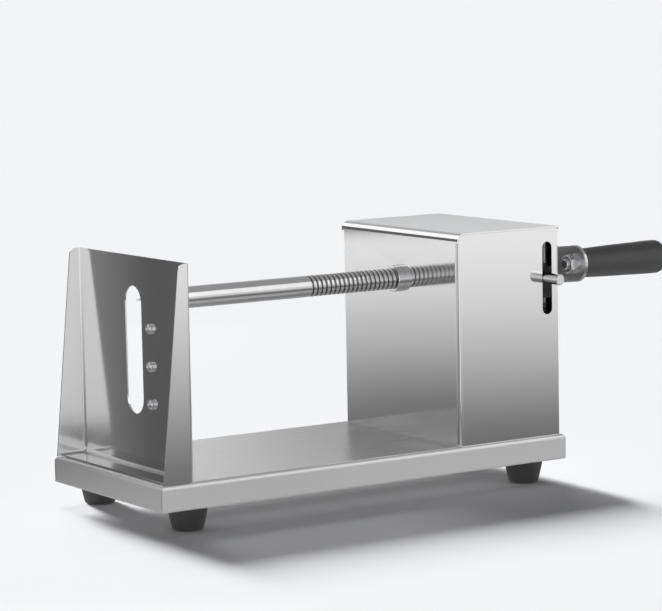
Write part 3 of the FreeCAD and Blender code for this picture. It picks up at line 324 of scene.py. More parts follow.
def make_steel(name, colour, roughness, stretch, line_share=0.06, smear_share=0.08, bump=0.02,
               edge_colour=None, flat_way=None, side_roughness=None, side_colour=None):
    material = bpy.data.materials.new(name)
    material.use_nodes = True
    tree = material.node_tree
    shader = tree.nodes["Principled BSDF"]
    shader.inputs["Metallic"].default_value = 1.0
    grain = place_group(tree, brushed_lines, Stretch=stretch)
    marks = place_group(tree, handling_marks)
    edges = place_group(tree, rubbed_and_lit_edges)
    line_part = multiply(tree, grain.outputs["Lines"], line_share, roughness - line_share / 2)
    smear_part = multiply(tree, marks.outputs["Smears"], smear_share)
    roughness_now = add_values(tree, line_part, smear_part)
    if flat_way:
        flat = place_group(tree, flat_faces, Direction=flat_way)
        step = roughness - side_roughness
        rougher = multiply(tree, flat.outputs["Flat"], step, -step)
        roughness_now = add_values(tree, roughness_now, rougher)
    join(tree, roughness_now, shader.inputs["Roughness"])
    darker = tuple(channel * 0.93 for channel in colour)
    brighter = edge_colour or tuple(min(1.0, channel * 1.12) for channel in colour)
    face = blend_colours(tree, grain.outputs["Bands"], darker, colour)
    if flat_way:
        face = blend_colours(tree, flat.outputs["Flat"], side_colour, face)
    # Edges paler by wear; on the crank this edge colour is a painted highlight.
    worn_and_highlit = blend_colours(tree, edges.outputs["Edges"], face, brighter)
    join(tree, worn_and_highlit, shader.inputs["Base Color"])
    relief = add_node(tree, "ShaderNodeBump")
    relief.inputs["Strength"].default_value = bump
    relief.inputs["Distance"].default_value = 0.0002
    join(tree, grain.outputs["Lines"], relief.inputs["Height"])
    join(tree, relief.outputs["Normal"], shader.inputs["Normal"])
    return material


ALONG_X = (30.0, 1600.0, 1600.0)
ALONG_Y = (1600.0, 30.0, 1600.0)
ALONG_Z = (1600.0, 1600.0, 30.0)
ROUND_X = (1500.0, 260.0, 260.0)
UP = (0.0, 0.0, 1.0)
TO_THE_END = (1.0, 0.0, 0.0)
# The skirts' side colour, a shade paler than the top, is painted light that makes them read brighter.
base_steel = make_steel("sheet of the base", (0.76, 0.76, 0.765), 0.28, ALONG_X,
                        flat_way=UP, side_roughness=0.5, side_colour=(0.8, 0.8, 0.8))
housing_steel = make_steel("bright sheet of the housing", (0.78, 0.78, 0.785), 0.08, ALONG_Z,
                           line_share=0.04, smear_share=0.04)
bracket_steel = make_steel("bright sheet of the bracket", (0.76, 0.76, 0.765), 0.12, ALONG_Z,
                           line_share=0.04, smear_share=0.04)
bar_steel = make_steel("polished bar", (0.76, 0.76, 0.765), 0.16, ROUND_X, bump=0.01)
blade_steel = make_steel("ground blade", (0.78, 0.78, 0.79), 0.14, ALONG_X)
plated_steel = make_steel("bright plating", (0.72, 0.72, 0.74), 0.22, ROUND_X, bump=0.01)
# Painted shade and highlight: the crank's plain faces are painted dark for the dark that they mirror,
# and its rim and edges are painted bright where they catch the light.
crank_steel = make_steel("steel of the crank", (0.15, 0.15, 0.155), 0.28, ALONG_Y,
                         edge_colour=(0.6, 0.6, 0.6), flat_way=TO_THE_END, side_roughness=0.2,
                         side_colour=(0.66, 0.66, 0.66))
spring_steel = make_steel("drawn wire", (0.5, 0.5, 0.52), 0.35, ROUND_X)
bronze = make_steel("turned bronze", (0.62, 0.44, 0.2), 0.3, ROUND_X,
                    edge_colour=(0.78, 0.6, 0.32))
print("made steels", [material.name for material in bpy.data.materials if material.users == 0])

# %% [markdown]
# The feed shaft takes one more step: its steel is painted darker below the bar's surface, as
# painted shade in the thread's grooves.

# %% Steel of the shaft
SHAFT_RADIUS = 8.0
# Painted shade in the thread's grooves: how deep below the surface it reaches, and its grey.
GROOVE_SHADE_DEPTH = 0.35
GROOVE_SHADE = (0.17, 0.17, 0.165)


def shade_grooves(material):
    """Paints shade on a steel below the surface of the feed shaft, in the thread's grooves."""
    tree = material.node_tree
    shader = tree.nodes["Principled BSDF"]
    in_groove = place_group(tree, shaded_grooves, Axis=(0.0, 0.0, axis_z), Radius=SHAFT_RADIUS * MM,
                         Depth=GROOVE_SHADE_DEPTH * MM)
    unshaded = shader.inputs["Base Color"].links[0].from_socket
    groove_shaded = blend_colours(tree, in_groove.outputs["Filled"], unshaded, GROOVE_SHADE)
    join(tree, groove_shaded, shader.inputs["Base Color"])


shaft_steel = make_steel("polished steel of the shaft", (0.76, 0.76, 0.765), 0.14, ROUND_X,
                         bump=0.01)
shade_grooves(shaft_steel)
print("made", shaft_steel.name)

# %% [markdown]
# Rubber and moulded plastic aren't metals: their colour comes from inside and their shine is weak.
# What makes them real is a fine pebbled grain, paler rubbed edges and some dust on top.

# %% Rubber and plastic finishes
DUST = (0.42, 0.41, 0.39)


def make_moulded(name, colour, roughness, grain_scale, bump, dust_amount, edge_colour):
    material = bpy.data.materials.new(name)
    material.use_nodes = True
    tree = material.node_tree
    shader = tree.nodes["Principled BSDF"]
    place = add_node(tree, "ShaderNodeTexCoord")
    grain = add_node(tree, "ShaderNodeTexNoise")
    grain.inputs["Scale"].default_value = grain_scale
    grain.inputs["Detail"].default_value = 4.0
    join(tree, place.outputs["Object"], grain.inputs["Vector"])
    marks = place_group(tree, handling_marks, Size=60.0, Cover=0.45)
    edges = place_group(tree, rubbed_and_lit_edges)
    dust = place_group(tree, settled_dust, Amount=dust_amount)
    paler = tuple(min(1.0, channel * 1.35) for channel in colour)
    face = blend_colours(tree, grain.outputs["Fac"], colour, paler)
    rubbed = blend_colours(tree, edges.outputs["Edges"], face, edge_colour)
    dusty = blend_colours(tree, dust.outputs["Dust"], rubbed, DUST)
    join(tree, dusty, shader.inputs["Base Color"])
    smear_part = multiply(tree, marks.outputs["Smears"], -0.12, roughness)
    grain_part = multiply(tree, grain.outputs["Fac"], 0.1, -0.05)
    join(tree, add_values(tree, smear_part, grain_part), shader.inputs["Roughness"])
    relief = add_node(tree, "ShaderNodeBump")
    relief.inputs["Strength"].default_value = bump
    relief.inputs["Distance"].default_value = 0.0003
    join(tree, grain.outputs["Fac"], relief.inputs["Height"])
    join(tree, relief.outputs["Normal"], shader.inputs["Normal"])
    return material


rubber = make_moulded("black rubber", (0.075, 0.075, 0.075), 0.62, 1400.0, 0.25, 0.25,
                      (0.13, 0.13, 0.13))
grip_plastic = make_moulded("grip plastic", (0.07, 0.07, 0.069), 0.46, 2200.0, 0.2, 0.08,
                            (0.12, 0.12, 0.12))
slide_plastic = make_moulded("black slide plastic", (0.16, 0.16, 0.16), 0.45, 1200.0, 0.1, 0.1,
                             (0.22, 0.22, 0.22))
print("made", rubber.name, grip_plastic.name, slide_plastic.name)

# %% [markdown]
# CAD pieces whose shape is right stay as they are and only get a finish. One table says which
# finish belongs to which piece.

# %% Finishes of the CAD pieces
finishes = {
    base_steel: ["base_pan"],
    housing_steel: ["housing_cover", "side_panel_near", "side_panel_far"],
    bracket_steel: ["blade_bracket"],
    bar_steel: ["release_pin_near", "release_pin_far", "fork_head", "fork_prongs", "front_bush",
                "rear_bush"],
    blade_steel: ["blade"],
    plated_steel: ["crank_washer", "grip_washer", "guide_post_near", "guide_post_far",
                   "post_bridge"],
    crank_steel: ["crank_arm", "crank_hub"],
    spring_steel: ["spring_near", "spring_far"],
    bronze: ["half_nut"],
    slide_plastic: ["nut_slide", "thrust_washer"],
}


def finish_node(name, material):
    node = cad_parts[name]
    node.data.materials.clear()
    node.data.materials.append(material)


for material, names in finishes.items():
    for name in names:
        finish_node(name, material)
print("finished", sum(len(names) for names in finishes.values()), "CAD pieces")

# %% [markdown]
# Most pieces that a lathe or a screw machine makes are round, or round with a hexagon somewhere. So
# they are laid here as rings of points round the local Z axis, in millimetres, each ring bridged to
# the next. A modifier such as Screw could turn a profile too, but rings let the radius change round
# the axis, which gives hexagons, cross recesses and threads from the same few lines.

# %% Shells laid ring by ring
SIDES = 60
BROKEN_EDGE = 0.12


class Shell:
    """The points and faces of one closed surface round the local Z axis."""

    def __init__(self):
        self.points = []
        self.faces = []

    def add_ring(self, radius, height):
        start = len(self.points)
        for side in range(SIDES):
            turn = 2 * math.pi * side / SIDES
            reach = radius(turn) if callable(radius) else radius
            level = height(turn) if callable(height) else height
            self.points.append((reach * math.cos(turn), reach * math.sin(turn), level))
        return range(start, start + SIDES)

    def bridge(self, low, high):
        for side in range(SIDES):
            after = (side + 1) % SIDES
            self.faces.append((low[side], low[after], high[after], high[side]))

    def turn(self, profile, closed=False):
        rings = [self.add_ring(radius, height) for radius, height in profile]
        for low, high in zip(rings, rings[1:]):
            self.bridge(low, high)
        if closed:
            self.bridge(rings[-1], rings[0])
        return rings[0], rings[-1]

    def cap(self, ring, up=True):
        self.faces.append(tuple(ring) if up else tuple(reversed(ring)))


def facing(place, direction, spin=0.0):
    """Stands a shell's foot at a place, with its Z axis along a direction."""
    turn = Vector(direction).to_track_quat("Z", "Y").to_matrix().to_4x4()
    return Matrix.Translation(place) @ turn @ Matrix.Rotation(spin, 4, "Z")


def add_piece(name, shell, places, material, body, replaced, crease=32.0, edge=0.0):
    points = []
    faces = []
    for place in places:
        offset = len(points)
        points.extend(place @ (Vector(point) * MM) for point in shell.points)
        faces.extend(tuple(offset + index for index in face) for face in shell.faces)
    mesh = bpy.data.meshes.new(name)
    mesh.from_pydata(points, [], faces)
    mesh.update()
    mesh.shade_smooth()
    mesh.set_sharp_from_angle(angle=math.radians(crease))
    mesh.materials.append(material)
    piece = bpy.data.objects.new(name, mesh)
    bpy.context.scene.collection.objects.link(piece)
    if edge:
        soften_edges(piece, edge)
    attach(piece, body)
    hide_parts(*replaced)
    print(name, len(mesh.polygons), "faces")
    return piece


def soften_edges(piece, width, limit=28.0):
    softener = piece.modifiers.new("broken edges", "BEVEL")
    softener.width = width * MM
    softener.segments = 2
    softener.limit_method = "ANGLE"
    softener.angle_limit = math.radians(limit)


# %% [markdown]
# A CAD piece such as the four foot screws holds several separate solids. Their boxes say where each
# stands. Points that share a place belong together, and a walk from face to face collects one solid.

# %% Where each solid of a CAD piece stands
def solid_boxes(name):
    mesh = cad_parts[name].data
    keys = [tuple(round(value, 6) for value in vertex.co) for vertex in mesh.vertices]
    neighbours = {}
    for polygon in mesh.polygons:
        corners = [keys[index] for index in polygon.vertices]
        for corner in corners:
            neighbours.setdefault(corner, set()).update(corners)
    boxes = []
    while neighbours:
        group = []
        waiting = [next(iter(neighbours))]
        while waiting:
            key = waiting.pop()
            if key in neighbours:
                waiting.extend(neighbours.pop(key))
                group.append(key)
        low = Vector([min(key[axis] for key in group) for axis in range(3)])
        high = Vector([max(key[axis] for key in group) for axis in range(3)])
        boxes.append((low, high))
    return sorted(boxes, key=lambda box: tuple(box[0]))


def ends_along(name, axis, forward=True):
    """For each solid: the middle of its low or high end, and its length along an axis."""
    ends = []
    for low, high in solid_boxes(name):
        middle = (low + high) / 2
        middle[axis] = low[axis] if forward else high[axis]
        ends.append((middle, (high[axis] - low[axis]) / MM))
    return ends


for name in ("foot_screws", "blade_screws", "fork_prongs"):
    print(name, "holds", len(solid_boxes(name)), "solids")

# %% [markdown]
# The feed thread is a groove that winds round the shaft: right-handed, 4 mm from turn to turn. The
# points climb by one pitch in a turn, so each point's place follows from its turn alone, and the
# groove fades in and out over half a turn, as a lathe leaves it. The crests of the real thread are
# softly rounded with narrow grooves between them.

# %% A threaded stretch between two rings
def add_thread(shell, low_ring, high_ring, radius, start, pitch, turns, profile):
    """profile holds pairs: a share of the pitch along the axis, and a depth in millimetres."""
    count = len(profile)
    steps = turns * SIDES
    fade = SIDES // 2
    first = len(shell.points)
    for step in range(steps + 1):
        turn = 2 * math.pi * step / SIDES
        share = min(1.0, step / fade, (steps - step) / fade)
        for along, depth in profile:
            reach = radius - depth * share
            level = start + pitch * (step / SIDES + along)
            shell.points.append((reach * math.cos(turn), reach * math.sin(turn), level))

    def point(step, index):
        return first + step * count + index

    last = count - 1
    for step in range(steps):
        for index in range(last):
            shell.faces.append((point(step, index), point(step + 1, index),
                                point(step + 1, index + 1), point(step, index + 1)))
    for step in range(steps - SIDES):
        shell.faces.append((point(step, last), point(step + 1, last),
                            point(step + SIDES + 1, 0), point(step + SIDES, 0)))
    for side in range(SIDES - 1):
        shell.faces.append((low_ring[side], low_ring[side + 1], point(side + 1, 0), point(side, 0)))
    column = [point(0, index) for index in range(count)]
    shell.faces.append((low_ring[-1], low_ring[0], *column, point(SIDES, 0), point(SIDES - 1, 0)))
    top = steps - SIDES
    for side in range(1, SIDES):
        after = (side + 1) % SIDES
        shell.faces.append((point(top + side, last), point(top + side + 1, last),
                            high_ring[after], high_ring[side]))
    column = [point(steps, index) for index in reversed(range(count))]
    shell.faces.append((point(top, last), point(top + 1, last), high_ring[1], high_ring[0], *column))


# %% Feed shaft
SHAFT_PITCH = 4.0
THREAD_AT = 121.0
THREAD_TURNS = 45
SHAFT_THREAD = [(0.0, 0.03), (0.1, 0.0), (0.2, 0.03), (0.28, 0.12), (0.34, 0.34), (0.4, 0.7),
                (0.5, 0.8), (0.6, 0.7), (0.66, 0.34), (0.72, 0.12), (0.8, 0.03), (0.9, 0.0)]


def make_feed_shaft():
    length = (shaft_high.x - shaft_low.x) / MM
    shell = Shell()
    bore_end, plain_end = shell.turn([
        (3.5, 250.0), (3.5, 0.5), (4.0, 0.0), (5.6, 0.0), (6.0, 0.4), (6.0, 11.0),
        (7.5, 11.0), (8.0, 11.5), (SHAFT_RADIUS, 60.0), (SHAFT_RADIUS, THREAD_AT - 2.0)])
    shell.cap(bore_end, up=False)
    thread_end = THREAD_AT + SHAFT_PITCH * (THREAD_TURNS + 1)
    rear_start, rear_end = shell.turn([
        (SHAFT_RADIUS, thread_end + 1.0), (SHAFT_RADIUS, length - 0.5), (7.5, length)])
    shell.cap(rear_end)
    add_thread(shell, plain_end, rear_start, SHAFT_RADIUS, THREAD_AT, SHAFT_PITCH, THREAD_TURNS,
               SHAFT_THREAD)
    return add_piece("threaded_feed_shaft", shell, [facing((shaft_low.x, 0, axis_z), (1, 0, 0))],
                     shaft_steel, "feed_screw", ["feed_shaft"], crease=40.0)


make_feed_shaft()

# %% [markdown]
# A hexagon nut is a hexagonal bar whose ends were turned down by a 30 degree cone. The cone cuts
# deep at the corners and hardly at all at the flats, and that leaves the curved edges that everyone
# knows from real nuts. In rings: the hexagon's radius follows from the angle, and the cone's drop
# follows from that radius.

# %% Nuts and bolts
CONE = math.tan(math.radians(30.0))
WASHER_FACE = 0.475


def hexagon_radius(flats):
    def radius(turn):
        sixth = turn % (math.pi / 3) - math.pi / 6
        return flats / 2 / math.cos(sixth)
    return radius


def cone_drop(flats):
    hexagon = hexagon_radius(flats)
    return lambda turn: (hexagon(turn) - WASHER_FACE * flats) * CONE


def nut_shell(flats, height, bore):
    shell = Shell()
    hexagon = hexagon_radius(flats)
    drop = cone_drop(flats)
    face = WASHER_FACE * flats
    inside = bore / 2
    lead = bore * 0.06
    shell.turn([(inside + lead, 0.0), (face, 0.0), (hexagon, drop),
                (hexagon, lambda turn: height - drop(turn)), (face, height),
                (inside + lead, height), (inside, height - lead), (inside, lead)], closed=True)
    return shell


def place_nuts(name, node, direction, flats, bore, body, spin=math.pi / 6):
    """Puts a real nut at each solid of a CAD nut, turned about its own axis by spin."""
    ends = ends_along(node, 0 if direction[0] else 2)
    places = [facing(foot, direction, spin) for foot, _ in ends]
    height = ends[-1][1]
    return add_piece(name, nut_shell(flats, height, bore), places, plated_steel, body, [node],
                     edge=BROKEN_EDGE)


place_nuts("lock_nut_of_grip", "grip_nut", (1, 0, 0), 13.0, 8.1, "feed_screw")
place_nuts("nuts_of_feet", "foot_nuts", (0, 0, 1), 8.0, 5.1, "stand")
place_nuts("nuts_of_bracket", "bracket_nuts", (0, 0, 1), 7.0, 4.1, "stand")
place_nuts("nuts_of_blade", "blade_nuts", (1, 0, 0), 7.0, 4.1, "stand")
place_nuts("nuts_of_housing", "housing_nuts", (0, 0, 1), 7.0, 4.1, "stand")
place_nuts("nuts_of_posts", "post_nuts", (0, 0, 1), 10.0, 6.1, "stand")
place_nuts("nuts_of_bridge", "bridge_nuts", (0, 0, 1), 8.0, 5.1, "stand")


def make_crank_bolt():
    flats = 10.0
    foot, length = ends_along("crank_bolt", 0)[0]
    head = 4.0
    shank = length - head
    hexagon = hexagon_radius(flats)
    drop = cone_drop(flats)
    shell = Shell()
    low, high = shell.turn([(2.5, 0.0), (3.0, 0.5), (3.0, shank), (hexagon, shank),
                            (hexagon, lambda turn: length - drop(turn)),
                            (WASHER_FACE * flats, length)])
    shell.cap(low, up=False)
    shell.cap(high)
    return add_piece("bolt_of_crank", shell, [facing(foot, (1, 0, 0))], plated_steel, "feed_screw",
                     ["crank_bolt"], edge=BROKEN_EDGE)


make_crank_bolt()

# %% [markdown]
# The small screws have low round heads with a cross recess. A cross is a shape that every ray from
# its middle leaves only once, so its outline is also just a radius that depends on the angle: the
# recess is one cross-shaped ring on the dome and a smaller one below it.

# %% Screws
def cross_radius(length, width):
    def radius(turn):
        across = max(abs(math.cos(turn)), 1e-6)
        along = max(abs(math.sin(turn)), 1e-6)
        return max(min(length / across, width / along), min(width / across, length / along))
    return radius


def screw_shell(shank, length, head, head_high):
    """A screw whose head sits on z = 0 and points up, with its shank below."""
    shell = Shell()
    half = head / 2
    cross = cross_radius(head * 0.27, head * 0.075)
    floor_cross = cross_radius(head * 0.16, head * 0.05)
    low, high = shell.turn([
        (shank / 2 - 0.5, -length), (shank / 2, 0.6 - length), (shank / 2, 0.0), (half - 0.15, 0.0),
        (half, 0.15), (half, head_high * 0.35), (half * 0.97, head_high * 0.6),
        (half * 0.86, head_high * 0.82), (half * 0.7, head_high * 0.95), (cross, head_high),
        (cross_radius(head * 0.25, head * 0.068), head_high - 0.12), (floor_cross, head_high * 0.35)])
    shell.cap(low, up=False)
    shell.cap(high)
    return shell


def place_screws(name, node, axis, sign, shank, head, head_high, body):
    direction = [0, 0, 0]
    direction[axis] = sign
    ends = ends_along(node, axis, forward=(sign > 0))
    length = ends[-1][1] - head_high
    places = [facing(tip + Vector(direction) * length * MM, direction) for tip, _ in ends]
    return add_piece(name, screw_shell(shank, length, head, head_high), places, plated_steel, body,
                     [node], crease=38.0)


# %% Screws in their places
place_screws("screws_of_feet", "foot_screws", 2, -1, 5.0, 9.0, 3.5, "stand")
place_screws("screws_of_housing", "housing_screws", 2, -1, 4.0, 7.6, 3.0, "stand")
place_screws("screws_of_blade", "blade_screws", 0, -1, 4.0, 7.6, 3.0, "stand")
place_screws("screws_of_half_nut", "half_nut_screws", 2, -1, 4.0, 7.6, 3.0, "release_slide")

# %% [markdown]
# Two grub screws lock the fork and the crank's hub to the shaft. A grub screw has no head, only a
# hexagon socket in its end: the same cross recess trick, with the hexagon's radius in its place.

# %% Grub screws
def grub_shell(radius, length, key):
    shell = Shell()
    socket = hexagon_radius(key)
    low, high = shell.turn([(radius - 0.6, 0.0), (radius, 0.6), (radius, length - 0.3),
                            (radius - 0.3, length), (socket, length), (socket, length - 1.8)])
    shell.cap(low, up=False)
    shell.cap(high)
    return shell


def place_grub(name, node, sign, radius, key):
    foot, length = ends_along(node, 2, forward=(sign > 0))[0]
    add_piece(name, grub_shell(radius, length, key), [facing(foot, (0, 0, sign))], plated_steel,
              "feed_screw", [node])


place_grub("grub_screw_of_fork", "fork_screw", -1, 2.0, 2.0)
place_grub("grub_screw_of_hub", "hub_screw", 1, 2.5, 2.5)

# %% [markdown]
# The grip is moulded plastic on a stepped steel spindle. It swells gently towards its outer end, so
# that a turning hand doesn't slip off, and both ends are rounded. The swell isn't a straight cone on
# the real grip, so the outline follows a smooth curve between its measured ends.

# %% Grip
def arc(middle_radius, middle_height, radius, start, end, steps=6):
    """Points of a profile's arc, angles in degrees from straight outward."""
    points = []
    for step in range(steps + 1):
        turn = math.radians(start + (end - start) * step / steps)
        points.append((middle_radius + radius * math.cos(turn),
                       middle_height + radius * math.sin(turn)))
    return points


def make_grip():
    length = (grip_high.x - grip_low.x) / MM
    largest = (grip_high.y - grip_low.y) / MM / 2
    smallest = 11.0
    swell_end = 65.6
    inner_round = 1.5
    end_round = 5.0
    swell = []
    for step in range(1, 16):
        share = step / 16
        eased = share + 0.16 * math.sin(math.pi * share) * (1 - share)
        swell.append((smallest + (largest - smallest) * eased,
                      inner_round + (swell_end - inner_round) * share))
    shell = Shell()
    shell.turn([(4.65, 0.4), (5.05, 0.0),
                *arc(smallest - inner_round, inner_round, inner_round, -90, 0),
                *swell, (largest, swell_end),
                *arc(largest - end_round, length - end_round, end_round, 0, 80),
                (7.6, length), (7.1, length - 0.5), (7.1, length - 9.0), (4.65, length - 9.0)],
               closed=True)
    return add_piece("revolving_handle", shell,
                     [facing((grip_low.x, grip_axis_y, grip_axis_z), (1, 0, 0))],
                     grip_plastic, "revolving_grip", ["grip"], crease=50.0)


make_grip()

# %% Spindle of the grip
FINE_THREAD = [(0.0, 0.0), (0.12, 0.0), (0.44, 0.58), (0.56, 0.58), (0.88, 0.0)]


def make_spindle():
    length = (spindle_high.x - spindle_low.x) / MM
    head_start = length - 5.0
    shoulder = 12.5
    key = hexagon_radius(6.0)
    shell = Shell()
    low, plain = shell.turn([(3.3, 0.0), (4.0, 0.7), (4.0, 0.8)])
    shell.cap(low, up=False)
    thread_turns = 6
    pitch = 1.25
    thread_end = 0.9 + pitch * (thread_turns + 1)
    start, end = shell.turn([(4.0, thread_end), (4.0, shoulder), (4.5, shoulder), (4.5, head_start),
                             (6.3, head_start), (6.7, head_start + 0.4), (6.7, length - 0.8),
                             (5.9, length), (key, length), (key, length - 3.0)])
    shell.cap(end)
    add_thread(shell, plain, start, 4.0, 0.9, pitch, thread_turns, FINE_THREAD)
    return add_piece("spindle_of_grip", shell,
                     [facing((spindle_low.x, grip_axis_y, grip_axis_z), (1, 0, 0))],
                     bar_steel, "feed_screw", ["grip_spindle"])


make_spindle()

# %% [markdown]
# A rubber foot is a tapered puck with a hollow for its screw. The mould leaves soft rims, and rings
# in the sole keep it from sliding on a wet worktop.

# %% Rubber feet
def foot_shell(height, top):
    shell = Shell()
    rings = []
    for middle in (7.2, 8.4):
        rings += [(middle - 0.35, 0.0), (middle - 0.2, 0.5),
                  (middle + 0.2, 0.5), (middle + 0.35, 0.0)]
    shell.turn([(6.0, 0.6), (6.3, 0.1), (6.6, 0.0), *rings, (9.1, 0.0),
                *arc(9.2, 2.5, 2.45, -80, -12, 6),
                (top - 0.5, height - 2.6), (top - 0.1, height - 0.9), (top - 0.05, height - 0.4),
                (top - 0.3, height), (2.6, height), (2.6, 8.0), (5.6, 8.0), (6.0, 7.6)], closed=True)
    return shell


for name in ("foot_front_near", "foot_front_far", "foot_rear_near", "foot_rear_far"):
    low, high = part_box(name)
    middle = ((low.x + high.x) / 2, (low.y + high.y) / 2, low.z)
    shell = foot_shell((high.z - low.z) / MM, (high.x - low.x) / MM / 2)
    add_piece(name.replace("foot", "rubber"), shell, [facing(middle, (0, 0, 1))], rubber,
              "stand", [name], crease=50.0)

# %% [markdown]
# The two coil springs are squeezed when the slide goes down. Each CAD spring is hidden, and a copy
# with a mesh of its own stands in its place on the stand's body.


def place_spring(node):
    spring = bpy.data.objects.new(node.replace("spring", "coil"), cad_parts[node].data.copy())
    bpy.context.scene.collection.objects.link(spring)
    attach(spring, "stand")
    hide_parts(node)
    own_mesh(spring)


for name in ("spring_near", "spring_far"):
    place_spring(name)

# %% [markdown]
# Cut sheet never has a knife edge: the cut is broken by a file, or the sheet is polished over it. A
# narrow bevel on the CAD pieces gives every edge its thin line of light. It is a modifier, so the
# CAD mesh itself isn't touched.

# %% Broken edges on the sheets
for name in ("blade_bracket", "side_panel_near", "side_panel_far", "housing_cover", "base_pan",
             "crank_arm", "crank_hub", "front_bush", "rear_bush", "fork_head", "grip_washer",
             "crank_washer", "thrust_washer", "blade", "half_nut", "nut_slide", "post_bridge"):
    soften_edges(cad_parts[name], BROKEN_EDGE, limit=40.0)

# %% [markdown]
# Product photographs of steel are made in a tent: pale all round, so that bright sheet mirrors
# nothing but soft light. The floor fills the whole picture, because the camera looks down on it
# with a long lens. Rays that come off the steel see the floor as a glow of painted shade instead:
# dark round the base and paler further off, so the low parts of each sheet fade downwards.

# %% Floor
FLOOR_REACH = 70.0
BASE_REACH = (0.2, 0.08, 0.0)
FLOOR_SHADES = [(0.0, 0.44), (0.1, 0.42), (0.14, 0.16), (0.26, 0.22), (0.62, 0.48), (1.1, 0.72),
                (1.8, 0.9)]


def fill_ramp(ramp, shades):
    """Gives a ramp its greys, each a pair of a position from 0 to 1 and a shade."""
    stops = ramp.color_ramp.elements
    ends = [(stops[0], shades[0]), (stops[1], shades[-1])]
    for stop, (position, shade) in ends:
        stop.position = position
        stop.color = (shade, shade, shade, 1.0)
    for position, shade in shades[1:-1]:
        stops.new(position).color = (shade, shade, shade, 1.0)


def distance_ramp(tree, shades):
    """Shades by the distance in metres from the base's outline."""
    furthest = shades[-1][0]
    place = add_node(tree, "ShaderNodeNewGeometry")
    folded = add_node(tree, "ShaderNodeVectorMath", operation="ABSOLUTE")
    join(tree, place.outputs["Position"], folded.inputs[0])
    beyond = add_node(tree, "ShaderNodeVectorMath", operation="SUBTRACT")
    join(tree, folded.outputs[0], beyond.inputs[0])
    beyond.inputs[1].default_value = BASE_REACH
    outside = add_node(tree, "ShaderNodeVectorMath", operation="MAXIMUM")
    join(tree, beyond.outputs[0], outside.inputs[0])
    outside.inputs[1].default_value = (0.0, 0.0, 0.0)
    reach = add_node(tree, "ShaderNodeVectorMath", operation="LENGTH")
    join(tree, outside.outputs[0], reach.inputs[0])
    scaled = multiply(tree, reach.outputs["Value"], 1.0 / furthest)
    ramp = add_node(tree, "ShaderNodeValToRGB")
    join(tree, scaled, ramp.inputs["Fac"])
    fill_ramp(ramp, [(distance / furthest, shade) for distance, shade in shades])
    return ramp.outputs["Color"]


def add_floor():
    mesh = bpy.data.meshes.new("floor")
    reach = FLOOR_REACH
    corners = [(-reach, -reach, 0), (reach, -reach, 0), (reach, reach, 0), (-reach, reach, 0)]
    mesh.from_pydata(corners, [], [(0, 1, 2, 3)])
    material = bpy.data.materials.new("pale floor")
    material.use_nodes = True
    tree = material.node_tree
    shader = tree.nodes["Principled BSDF"]
    shader.inputs["Base Color"].default_value = (0.86, 0.865, 0.88, 1.0)
    shader.inputs["Roughness"].default_value = 0.7
    shader.inputs["Specular IOR Level"].default_value = 0.1
    # Mirroring rays see a glow in these greys instead of the lit floor: painted shade in the steel.
    mirrored = add_node(tree, "ShaderNodeEmission")
    join(tree, distance_ramp(tree, FLOOR_SHADES), mirrored.inputs["Color"])
    path = add_node(tree, "ShaderNodeLightPath")
    both = add_node(tree, "ShaderNodeMixShader")
    join(tree, path.outputs["Is Glossy Ray"], both.inputs[0])
    join(tree, shader.outputs[0], both.inputs[1])
    join(tree, mirrored.outputs[0], both.inputs[2])
    join(tree, both.outputs[0], tree.nodes["Material Output"].inputs["Surface"])
    mesh.materials.append(material)
    floor = bpy.data.objects.new("floor", mesh)
    bpy.context.scene.collection.objects.link(floor)
    return floor


floor = add_floor()

# %% [markdown]
# The tent's cloth is the world's light: pale at the horizon and greyer overhead, as the steel sees
# it. What isn't mirrored gets a weaker, even light, so that the lamps' shadows stay clear.

# %% Sky of the tent
SKY_HORIZON = 0.66
SKY_OVERHEAD = 0.36
SKY_FILL = 0.12


def light_world():
    world = bpy.data.worlds.new("tent")
    bpy.context.scene.world = world
    world.use_nodes = True
    tree = world.node_tree
    place = add_node(tree, "ShaderNodeTexCoord")
    split = add_node(tree, "ShaderNodeSeparateXYZ")
    join(tree, place.outputs["Generated"], split.inputs[0])
    ramp = add_node(tree, "ShaderNodeMapRange", interpolation_type="SMOOTHSTEP")
    ramp.inputs["From Min"].default_value = 0.1
    ramp.inputs["From Max"].default_value = 0.75
    ramp.inputs["To Min"].default_value = SKY_HORIZON
    ramp.inputs["To Max"].default_value = SKY_OVERHEAD
    join(tree, split.outputs["Z"], ramp.inputs["Value"])
    path = add_node(tree, "ShaderNodeLightPath")
    strength = add_node(tree, "ShaderNodeMix", data_type="FLOAT")
    join(tree, path.outputs["Is Glossy Ray"], strength.inputs[0])
    strength.inputs[2].default_value = SKY_FILL
    join(tree, ramp.outputs["Result"], strength.inputs[3])
    join(tree, strength.outputs[0], tree.nodes["Background"].inputs["Strength"])
    tree.nodes["Background"].inputs["Color"].default_value = (0.985, 0.99, 1.0, 1.0)


light_world()
print("lit the tent")

# %% [markdown]
# Two lamps stand behind the cutter. The key lights everything and is soft. The low sun rakes along
# the floor and lays the base's long shadow in front of it. With Cycles' light linking it lights the
# floor alone, and only the base and its feet block it, so the housing adds no second shadow.

# %% Lamps
def add_sun(name, azimuth, elevation, spread, strength):
    """A distant lamp, not seen in the steel. Angles are in degrees."""
    light = bpy.data.lights.new(name, "SUN")
    light.energy = strength
    light.angle = math.radians(spread)
    lamp = bpy.data.objects.new(name, light)
    turn, rise = math.radians(azimuth), math.radians(elevation)
    towards = Vector((math.cos(rise) * math.cos(turn), math.cos(rise) * math.sin(turn),
                      math.sin(rise)))
    lamp.rotation_mode = "QUATERNION"
    lamp.rotation_quaternion = towards.to_track_quat("Z", "Y")
    lamp.visible_glossy = False
    bpy.context.scene.collection.objects.link(lamp)
    return lamp


